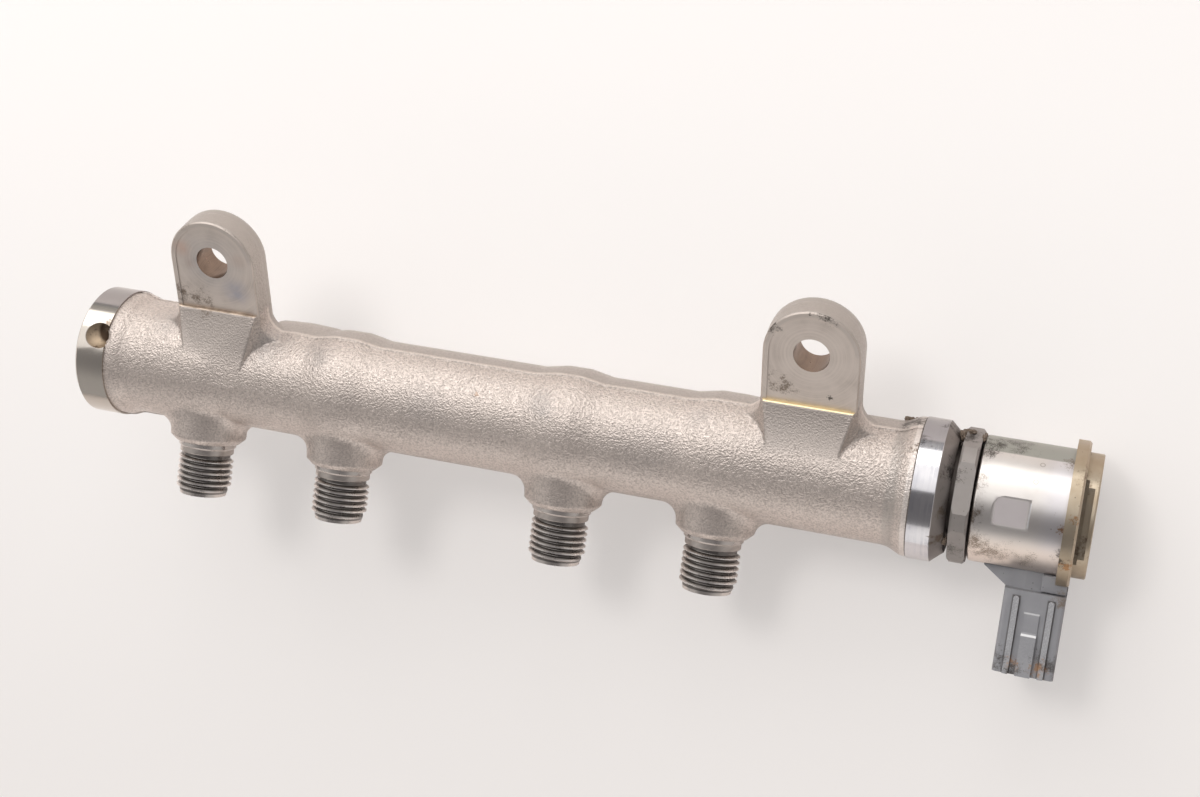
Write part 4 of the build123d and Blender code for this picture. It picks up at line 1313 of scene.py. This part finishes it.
@dataclass
class RailLooks:
    """The forged body with its finishes and cut threads."""

    effects: Effects
    hole_radius: float = 4.2
    wall_room: float = 0.05
    face_depth: float = -4.35
    face_room: float = 0.3
    facing: float = 0.3
    ledge_height: float = 20.3
    ledge_room: float = 0.3
    ledge_drop: float = 0.9
    ledge_reach: float = 0.1
    ledge_upward: float = 0.25
    boss_end: float = 19.4
    stub_radius: float = 6.93
    stub_room: float = 7.4
    root_radius: float = 6.05
    thread_pitch: float = 1.5
    neck_radius: float = 6.8
    neck_start: float = 20.3
    neck_end: float = 22.35
    thread_start: float = 22.4
    thread_end: float = 32.7
    left_collar: float = 8.1
    right_collar: float = 212.3
    bore_reach: float = 9.75
    lug_root_radius: float = 18.0
    slack: float = 0.02
    steps_a_turn: int = 72
    neck_steps: int = 96
    neck_edge: float = 0.15
    neck_sunk: float = 0.3
    ridge_sunk: float = 0.12
    ridge_overlap: float = 0.01
    crest_share: float = 0.09
    foot_share: float = 0.42
    flank_share: float = 0.88
    flank_bow: float = 0.06
    foot_bow: float = 0.04
    fade_share: float = 0.3
    fade_sunk: float = 0.06
    neck_light: Colour = (0.60, 0.545, 0.505, 1.0)
    neck_dark: Colour = (0.42, 0.38, 0.355, 1.0)
    wall_light: Colour = (0.27, 0.20, 0.155, 1.0)
    wall_dark: Colour = (0.17, 0.125, 0.10, 1.0)
    return_place: float = 203.2
    return_reach: float = 6.9

    @staticmethod
    def lug_up() -> Vector:
        """Unit vector up the lugs."""
        lean = math.radians(LUG_LEAN)
        return Vector((0.0, -math.sin(lean), math.cos(lean)))

    @staticmethod
    def lug_away() -> Vector:
        """Unit vector along the bolt holes, away from the front."""
        lean = math.radians(LUG_LEAN)
        return Vector((0.0, math.cos(lean), math.sin(lean)))

    def on_stub(self, centre: Vector) -> bool:
        """Whether a point in millimetres is on a machined stub.

        Args:
            centre: the point in millimetres.

        Returns:
            True where it is.
        """
        if centre.z < -self.boss_end + self.slack:
            return any(math.hypot(centre.x - x, centre.y) < self.stub_room for x in OUTLETS)
        if centre.y > self.boss_end - self.slack:
            return math.hypot(centre.x - INLET, centre.z) < self.stub_room
        return False

    def on_lug_face(self, centre: Vector, normal: Vector) -> bool:
        """Whether a face is part of a lug's milled front, its rim included.

        Args:
            centre: the point in millimetres.
            normal: the face's direction.

        Returns:
            True where it is.
        """
        depth = centre.dot(self.lug_away())
        above = centre.dot(self.lug_up()) > self.ledge_height + self.ledge_room
        in_front = depth < self.face_depth + self.face_room
        return above and in_front and normal.dot(self.lug_away()) < -self.facing

    def on_ledge(self, centre: Vector, normal: Vector) -> bool:
        """Whether a face is part of the ledge below a lug's milled front.

        Args:
            centre: the point in millimetres.
            normal: the face's direction.

        Returns:
            True where it is.
        """
        height = centre.dot(self.lug_up())
        low = self.ledge_height - self.ledge_drop < height <= self.ledge_height + self.ledge_room
        in_front = centre.dot(self.lug_away()) < self.face_depth + self.ledge_reach
        return low and in_front and normal.z > self.ledge_upward

    def in_hole(self, centre: Vector) -> bool:
        """Whether a point lies on the wall of a lug hole.

        Args:
            centre: the point in millimetres.

        Returns:
            True where it does.
        """
        rise = centre.dot(self.lug_up()) - HOLE_HEIGHT
        holes = (LUG_MIDDLE - LUG_REACH, LUG_MIDDLE + LUG_REACH)
        return any(math.hypot(centre.x - x, rise) < self.hole_radius + self.wall_room for x in holes)

    def finish_of(self, centre: Vector, normal: Vector) -> Finish:
        """Finish that a face of the body has.

        Args:
            centre: the face's centre in millimetres.
            normal: its outward normal.

        Returns:
            The finish.
        """
        radius = math.hypot(centre.y, centre.z)
        if self.on_stub(centre):
            return Finish.THREAD
        if radius < self.bore_reach:
            return Finish.BORED
        if centre.x < self.left_collar + self.slack or centre.x > self.right_collar + self.slack:
            return Finish.POLISHED
        if self.in_hole(centre) and radius > self.lug_root_radius:
            return Finish.BORED
        if self.on_lug_face(centre, normal):
            return Finish.MILLED
        if self.on_ledge(centre, normal):
            return Finish.LEDGE
        by_return = math.hypot(centre.x - self.return_place, centre.z) < self.return_reach
        if centre.y > self.bore_reach and by_return:
            return Finish.BORED
        return Finish.FORGED

    @staticmethod
    def stubs() -> list[tuple[str, float, Port]]:
        """The name's pattern, the place along the rail and the port of each threaded stub."""
        stubs = [(f"outlet_{{}}_{number}", x, Port.OUTLET) for number, x in enumerate(OUTLETS, 1)]
        return [*stubs, ("inlet_{}", INLET, Port.INLET)]

    def build(self) -> list[bpy.types.Object]:
        """Makes the finished body, its threads and its turned necks.

        Returns:
            The new pieces.
        """
        body = copy_node("rail_body", "forged_body")
        self.shrink_stubs(body)
        # painted shade: the bores' walls are laid dark brown, darker than turned steel, for the shade inside
        # the holes
        walls = TurnedSteel("bore_wall_in_shade", self.wall_light, self.wall_dark)
        finishes = {
            Finish.FORGED: ForgedSkin(),
            Finish.POLISHED: PolishedCollar(),
            Finish.THREAD: CutThread(),
            Finish.MILLED: MilledLug(),
            Finish.LEDGE: LugLedge(),
            Finish.BORED: walls,
        }
        materials = {finish: look.material(self.effects) for finish, look in finishes.items()}
        body.data.materials.clear()
        for finish in Finish:
            body.data.materials.append(materials[finish])
        for face in body.data.polygons:
            face.material_index = self.finish_of(face.center / MM, face.normal).value
        smooth(body, 34.0)
        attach(body, ROOT_BODY)
        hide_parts("rail_body")
        band = TurnedSteel("turned_neck", self.neck_light, self.neck_dark, 0.3).material(self.effects)
        stubs = self.stubs()
        cut = materials[Finish.THREAD]
        threads = [self.thread(name.format("thread"), x, port, cut) for name, x, port in stubs]
        necks = [self.neck(name.format("neck"), x, port, band) for name, x, port in stubs]
        return [body, *threads, *necks]

    def shrink_stubs(self, body: bpy.types.Object) -> None:
        """Takes the thread cylinders down to the root diameter so that ridges can stand on them.

        Args:
            body: the copied body.
        """
        for _, x, port in self.stubs():
            out = Vector(port.value)
            foot = ALONG * x
            for vertex in body.data.vertices:
                rel = vertex.co / MM - foot
                along = rel.dot(out)
                flat = rel - out * along
                if along > self.thread_start and abs(flat.length - self.stub_radius) < self.wall_room:
                    vertex.co = (foot + out * along + flat * (self.root_radius / flat.length)) * MM

    def thread(self, name: str, x: float, port: Port, finish: bpy.types.Material) -> bpy.types.Object:
        """Makes one helical ridge on a stub.

        Args:
            name: the piece's name.
            x: where the stub stands along the rail.
            port: which way the stub points.
            finish: the thread's material.

        Returns:
            The ridge as a closed mesh.
        """
        pitch, root, crest = self.thread_pitch, self.root_radius, self.stub_radius
        turns = (self.thread_end - self.thread_start - pitch) / pitch
        half_root = pitch * 0.5 + self.ridge_overlap
        half_crest = pitch * self.crest_share
        upper = [
            (crest, half_crest),
            (root + (crest - root) * self.flank_share, half_crest + self.flank_bow),
            (root + self.foot_bow, pitch * self.foot_share),
            (root, half_root),
            (root - self.ridge_sunk, half_root),
        ]
        lower = [(radius, -height) for radius, height in reversed(upper)]
        obj = self.wound(name, lower + upper, -turns, pitch * turns, int(self.steps_a_turn * turns))
        self.close_ends(obj)
        self.fade_ends(obj, turns)
        out = Vector(port.value)
        start = self.thread_start + pitch * 0.5
        settle(obj, moved(ALONG * x + out * start), turned(out))
        dress_piece(obj, finish, 40.0)
        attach(obj, ROOT_BODY)
        return obj

    def neck(self, name: str, x: float, port: Port, finish: bpy.types.Material) -> bpy.types.Object:
        """Makes the plain turned band between a boss and its thread.

        Args:
            name: the piece's name.
            x: where the stub stands along the rail.
            port: which way the stub points.
            finish: the band's material.

        Returns:
            The band as a closed ring.
        """
        inner, outer, edge = self.root_radius - self.neck_sunk, self.neck_radius, self.neck_edge
        profile = [
            (inner, self.neck_start),
            (outer, self.neck_start),
            (outer, self.neck_end - edge),
            (outer - edge, self.neck_end),
            (inner, self.neck_end),
        ]
        obj = self.wound(name, profile, 1.0, 0.0, self.neck_steps)
        settle(obj, moved(ALONG * x), turned(Vector(port.value)))
        dress_piece(obj, finish, 40.0)
        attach(obj, ROOT_BODY)
        return obj

    @staticmethod
    def wound(
        name: str, profile: list[tuple[float, float]], turns: float, climb: float, steps: int
    ) -> bpy.types.Object:
        """Winds a closed outline round Z.

        Args:
            name: the piece's name.
            profile: the outline's (radius, height) corners in millimetres.
            turns: how many turns it makes, below zero for clockwise.
            climb: how far it climbs in millimetres.
            steps: how many steps it takes.

        Returns:
            The wound shape, its ends open.
        """
        deselect_all()
        bpy.ops.mesh.primitive_circle_add(vertices=len(profile), radius=1 * MM)
        obj = name_piece(name)
        for vertex, (radius, height) in zip(obj.data.vertices, profile):
            vertex.co = Vector((radius, 0.0, height)) * MM
        screw = obj.modifiers.new("winding", "SCREW")
        screw.axis = "Z"
        screw.angle = 2 * math.pi * turns
        screw.screw_offset = climb * MM
        screw.steps = steps
        screw.render_steps = steps
        screw.use_merge_vertices = False
        apply_modifiers(obj)
        return obj

    @staticmethod
    def close_ends(obj: bpy.types.Object) -> None:
        """Fills the two open ends of a swept ridge.

        Args:
            obj: the object.
        """
        edit(obj)
        bpy.ops.mesh.select_mode(type="EDGE")
        bpy.ops.mesh.select_all(action="DESELECT")
        bpy.ops.mesh.select_non_manifold(extend=False, use_wire=False, use_boundary=True)
        bpy.ops.mesh.edge_face_add()
        leave_edit()

    def fade_ends(self, obj: bpy.types.Object, turns: float) -> None:
        """Lets the ridge sink into the root over a short stretch at each end.

        Args:
            obj: the wound ridge.
            turns: how many turns it makes.
        """
        length = turns * self.thread_pitch
        fade = self.thread_pitch * self.fade_share
        sunk = self.root_radius - self.fade_sunk
        for vertex in obj.data.vertices:
            flat = Vector((vertex.co.x, vertex.co.y, 0.0))
            radius = flat.length / MM
            turn = math.atan2(vertex.co.y, vertex.co.x) / (2 * math.pi)
            along = self.unwrapped(vertex.co.z / MM, turn, turns)
            share = min(along, length - along) / fade
            if share < 1.0 and radius > self.root_radius:
                new = sunk + (radius - sunk) * max(0.0, share)
                vertex.co = Vector((flat.x * new / radius, flat.y * new / radius, vertex.co.z))

    def unwrapped(self, height: float, turn: float, turns: float) -> float:
        """Distance along the axis of the ridge's middle at a vertex, from its height and turn.

        Args:
            height: the vertex's height in millimetres.
            turn: its angle in turns.
            turns: how many turns the ridge makes.

        Returns:
            The distance in millimetres.
        """
        places = [(whole - turn) * self.thread_pitch for whole in range(-1, int(turns) + 2)]
        low, high = -self.ridge_overlap, turns * self.thread_pitch + self.ridge_overlap
        on_ridge = [along for along in places if low <= along <= high]
        return min(on_ridge, key=lambda along: abs(height - along), default=0.0)


@dataclass
class ValveLooks:
    """Finishes of the pressure valve, its magnet and its connector."""

    effects: Effects
    lift: float = 0.00025
    black: Colour = (0.04, 0.04, 0.04, 1.0)
    blacker: Colour = (0.02, 0.02, 0.02, 1.0)
    copper: Colour = (0.75, 0.38, 0.22, 1.0)
    dark_copper: Colour = (0.5, 0.2, 0.1, 1.0)
    tin: Colour = (0.75, 0.73, 0.66, 1.0)
    dark_tin: Colour = (0.58, 0.56, 0.51, 1.0)
    # painted shade colours of the washer in its gap
    washer_shade: Colour = (0.14, 0.12, 0.11, 1.0)
    washer_deep_shade: Colour = (0.05, 0.045, 0.04, 1.0)
    inside: tuple[str, ...] = (
        "edge_filter",
        "valve_seat",
        "valve_ball",
        "armature_pin",
        "guide_bush",
        "armature",
        "stop_shim",
        "armature_spring",
        "spring_disc",
        "isolating_sleeve",
        "pole_core",
    )

    def build(self) -> None:
        """Dresses every CAD node of the valve and copies its spring into a piece of its own."""
        looks = {
            GreyNut(): ("valve_body",),
            PlatedCan(): ("magnet_can",),
            YellowPlating(): ("end_plate", "end_cap"),
            ConnectorPlastic(): ("connector_housing",),
            Moulded("seal_black", self.black, self.blacker): ("port_ring", "core_ring", "coil_bobbin"),
            TurnedSteel("copper_wire", self.copper, self.dark_copper): ("coil_winding",),
            TurnedSteel("tinned_contact", self.tin, self.dark_tin): ("contact_pins",),
            # painted shade: the washer is laid near black for the shade of the gap it sits in
            TurnedSteel("washer_in_shade", self.washer_shade, self.washer_deep_shade, 0.5): ("sealing_washer",),
            TurnedSteel("inner_steel"): self.inside,
        }
        for look, nodes in looks.items():
            self.dress(look.material(self.effects), *nodes)
        self.spring()

    def spring(self) -> bpy.types.Object:
        """Copies the armature's spring into a piece with a mesh of its own.

        Returns:
            The spring.
        """
        obj = copy_node("armature_spring", "lifting_spring")
        recalculate_normals(obj)
        smooth(obj, 40.0)
        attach(obj, ROOT_BODY)
        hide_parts("armature_spring")
        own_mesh(obj)
        return obj

    @staticmethod
    def dress(material: bpy.types.Material, *nodes: str) -> None:
        """Gives CAD nodes one material.

        Args:
            material: the material.
            nodes: the nodes' names.
        """
        for node in nodes:
            mesh = bpy.data.objects[node].data
            mesh.materials.clear()
            mesh.materials.append(material)


@dataclass
class ConnectorShoulder:
    """Moulded shoulder that fills the corner between the connector's neck and the end plate."""

    effects: Effects
    low: Place = (243.0, -5.6, -18.0)
    high: Place = (248.7, 5.6, -14.0)
    corner_mm: float = 0.4

    def build(self) -> bpy.types.Object:
        """Makes the shoulder from a block with rounded corners.

        Returns:
            The new piece.
        """
        deselect_all()
        bpy.ops.mesh.primitive_cube_add(size=1.0)
        obj = name_piece("connector_shoulder")
        low, high = Vector(self.low), Vector(self.high)
        settle(obj, moved((low + high) * 0.5), sized(high - low))
        bevel = obj.modifiers.new("corners", "BEVEL")
        bevel.width = self.corner_mm * MM
        bevel.segments = 3
        apply_modifiers(obj)
        dress_piece(obj, ConnectorPlastic().material(self.effects), 35.0)
        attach(obj, ROOT_BODY)
        return obj


@dataclass(frozen=True)
class Clump:
    """One lump of grit: its name, place along X, turn up from the front, radius there and size.

    Lengths are in millimetres and the turn in degrees.
    """

    name: str
    x: float
    turn: float
    radius: float
    length: float
    width: float
    height: float


@dataclass
class DirtLooks:
    """Lumps of oily grit that sit in the corners of the valve end."""

    effects: Effects
    crumb_size: float = 0.55
    crumb_depth: float = 0.9
    crumb_level: float = 0.6
    clumps: tuple[Clump, ...] = (
        Clump("grit_on_body", 208.4, 97.0, 14.9, 1.7, 1.3, 0.9),
        Clump("grit_by_lip", 210.3, 96.0, 15.3, 1.1, 1.1, 0.6),
        Clump("grit_on_washer", 220.9, 84.0, 13.9, 1.0, 3.2, 1.4),
        Clump("grit_on_nut", 222.6, 92.0, 14.6, 1.5, 3.4, 0.7),
        Clump("grit_by_can", 225.6, 82.0, 14.3, 0.6, 3.6, 0.7),
        Clump("grit_under_cone", 220.8, -44.0, 13.6, 0.7, 1.0, 1.1),
    )

    def build(self) -> list[bpy.types.Object]:
        """Makes every lump.

        Returns:
            The new pieces.
        """
        material = CakedDirt().material(self.effects)
        return [self.lump(clump, material) for clump in self.clumps]

    def lump(self, clump: Clump, material: bpy.types.Material) -> bpy.types.Object:
        """Makes one rough lump and seats it on the metal.

        Args:
            clump: what to make.
            material: its material.

        Returns:
            The new piece.
        """
        deselect_all()
        bpy.ops.mesh.primitive_ico_sphere_add(subdivisions=4, radius=1.0)
        obj = name_piece(clump.name)
        cloud = bpy.data.textures.new(clump.name, "CLOUDS")
        cloud.noise_scale = self.crumb_size
        cloud.noise_depth = 3
        rough = obj.modifiers.new("crumbs", "DISPLACE")
        rough.texture = cloud
        rough.strength = self.crumb_depth
        rough.mid_level = self.crumb_level
        apply_modifiers(obj)
        turn = math.radians(clump.turn)
        out = Vector((0.0, -math.cos(turn), math.sin(turn)))
        size = Vector((clump.length, clump.width, clump.height))
        settle(obj, moved(ALONG * clump.x + out * clump.radius), turned(out), sized(size))
        dress_piece(obj, material, 60.0)
        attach(obj, ROOT_BODY)
        return obj


@dataclass(frozen=True)
class Lamp:
    """One soft light that faces the rail.

    It stands at a turn in degrees up from the front, a reach in metres from the rail's axis and
    a way along it. Its size is its length along the rail and its height, its power is in watts.
    """

    name: str
    turn: float
    reach: float
    along: float
    size: Span
    power: float
    colour: Place


@dataclass
class Studio:
    """Floor, lights and camera."""

    camera_place: Place = (0.24970, -0.41725, 0.06747)
    right: Place = (0.95127683, 0.28153927, 0.12572999)
    down: Place = (0.15826841, -0.09589657, -0.98272832)
    forward: Place = (-0.26461955, 0.95474577, -0.13578296)
    lens: float = 54.29
    floor_point: Place = (0.0556, 0.0335, 0.0)
    floor_turn: float = -4.96
    floor_size: float = 4.0
    floor_glow: float = 0.43
    glow_z: Span = (-0.14, 0.12)
    glow_drop: float = 0.11
    floor_bounce: Colour = (0.92, 0.86, 0.83, 1.0)
    floor_seen: Colour = (0.52, 0.50, 0.488, 1.0)
    glow_colour: Colour = (1.0, 0.965, 0.945, 1.0)
    room_pale: Colour = (0.52, 0.505, 0.495, 1.0)
    room_dark: Colour = (0.18, 0.172, 0.175, 1.0)
    dark_way: Place = (0.1, -0.94, -0.33)
    dark_reach: Span = (0.62, 0.93)
    middle: Place = (0.12, 0.0, 0.0)
    lamps: tuple[Lamp, ...] = (
        Lamp("key", 60.0, 1.0, -0.3, (1.3, 0.5), 5.0, (1.0, 0.985, 0.965)),
        Lamp("fill", 25.0, 1.2, -0.35, (2.0, 1.0), 6.0, (1.0, 0.99, 0.985)),
        Lamp("low_fill", -75.0, 0.8, 0.1, (1.3, 0.6), 1.35, (1.0, 0.965, 0.94)),
        Lamp("caster", 24.0, 1.1, -0.32, (0.3, 0.3), 3.6, (1.0, 0.985, 0.97)),
        Lamp("back_fill", -160.0, 0.9, 0.1, (0.8, 0.5), 2.5, (1.0, 0.98, 0.96)),
    )

    def camera(self) -> None:
        """Puts the camera where the object was seen from."""
        data = bpy.data.cameras.new("camera")
        data.lens = self.lens
        data.sensor_width = 36.0
        data.sensor_fit = "HORIZONTAL"
        data.clip_start = 0.01
        obj = bpy.data.objects.new("camera", data)
        bpy.context.scene.collection.objects.link(obj)
        turn = Matrix((self.right, -Vector(self.down), -Vector(self.forward))).transposed()
        obj.matrix_world = Matrix.Translation(self.camera_place) @ turn.to_4x4()
        bpy.context.scene.camera = obj

    def floor(self) -> None:
        """Lays the table that the rail lies on, on its back."""
        deselect_all()
        bpy.ops.mesh.primitive_plane_add(size=self.floor_size)
        obj = name_piece("table")
        turn = Matrix.Rotation(math.radians(self.floor_turn), 4, "Z") @ Matrix.Rotation(math.pi / 2, 4, "X")
        settle(obj, Matrix.Translation(self.floor_point), turn)
        obj.data.materials.append(self.floor_material())

    def floor_material(self) -> bpy.types.Material:
        """Pale matt table with lifted shadows, that hides nothing when it is looked at from behind.

        Returns:
            The table's material.
        """
        material = bpy.data.materials.new("table")
        material.use_nodes = True
        material.node_tree.nodes.clear()
        sheet = Sheet(material.node_tree)
        path = sheet.add("ShaderNodeLightPath")
        seen = path.outputs["Is Camera Ray"]
        shade = sheet.mix(seen, self.floor_bounce, self.floor_seen)
        matt = sheet.add("ShaderNodeBsdfDiffuse", None, Color=shade)
        place = sheet.add("ShaderNodeTexCoord").outputs["Object"]
        height = sheet.add("ShaderNodeSeparateXYZ", None, Vector=place).outputs[2]
        glowing = sheet.ramp(height, *self.glow_z, self.floor_glow - self.glow_drop, self.floor_glow)
        lift = sheet.times(seen, glowing)
        glow = sheet.add("ShaderNodeEmission", None, Color=self.glow_colour, Strength=lift)
        diffuse = sheet.add("ShaderNodeAddShader", None, _0=matt.outputs[0], _1=glow.outputs[0])
        clear = sheet.add("ShaderNodeBsdfTransparent")
        back = sheet.add("ShaderNodeNewGeometry").outputs["Backfacing"]
        hidden = sheet.math("MAXIMUM", back, path.outputs["Is Shadow Ray"])
        both = sheet.add("ShaderNodeMixShader", None, _0=hidden, _1=diffuse.outputs[0], _2=clear.outputs[0])
        sheet.add("ShaderNodeOutputMaterial", None, _0=both.outputs[0])
        return material

    def light(self, lamp: Lamp) -> None:
        """Adds one light and turns it to the rail's middle.

        Args:
            lamp: what to add.
        """
        data = bpy.data.lights.new(lamp.name, "AREA")
        data.shape = "RECTANGLE"
        data.size, data.size_y = lamp.size
        data.energy = lamp.power
        data.color = lamp.colour
        obj = bpy.data.objects.new(lamp.name, data)
        bpy.context.scene.collection.objects.link(obj)
        middle = Vector(self.middle)
        turn = math.radians(lamp.turn)
        out = Vector((lamp.along, -lamp.reach * math.cos(turn), lamp.reach * math.sin(turn)))
        back = out.normalized()
        along = (ALONG - back * ALONG.dot(back)).normalized()
        axes = Matrix((along, back.cross(along), back)).transposed()
        obj.matrix_world = Matrix.Translation(middle + out) @ axes.to_4x4()

    def lights(self) -> None:
        """Sets a long soft key light above, fills round the rail and one light for its shadow."""
        for lamp in self.lamps:
            self.light(lamp)
        bpy.data.objects["caster"].visible_glossy = False

    def room(self) -> None:
        """Pale room that is dark low in front of the rail, where nothing is lit."""
        world = bpy.data.worlds.new("room")
        world.use_nodes = True
        world.node_tree.nodes.clear()
        sheet = Sheet(world.node_tree)
        look = sheet.add("ShaderNodeTexCoord").outputs["Generated"]
        facing = sheet.vector("DOT_PRODUCT", look, self.dark_way)
        shade = sheet.mix(sheet.ramp(facing, *self.dark_reach), self.room_pale, self.room_dark)
        light = sheet.add("ShaderNodeBackground", None, Color=shade, Strength=1.0)
        sheet.add("ShaderNodeOutputWorld", None, _0=light.outputs[0])
        bpy.context.scene.world = world

    def build(self) -> None:
        """Sets the whole studio."""
        self.floor()
        self.lights()
        self.room()
        self.camera()
        bpy.context.scene.view_settings.view_transform = "Standard"


def main() -> None:
    """Builds every sub-assembly in order."""
    logging.basicConfig(level=logging.INFO, format="%(message)s")
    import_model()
    effects = Effects()
    for piece in RailLooks(effects).build():
        LOG.info("rail piece %s: %d faces", piece.name, len(piece.data.polygons))
    ValveLooks(effects).build()
    LOG.info("valve dressed")
    shoulder = ConnectorShoulder(effects).build()
    LOG.info("valve piece %s: %d faces", shoulder.name, len(shoulder.data.polygons))
    for piece in DirtLooks(effects).build():
        LOG.info("dirt piece %s: %d faces", piece.name, len(piece.data.polygons))
    Studio().build()


if __name__ == "__main__":
    main()
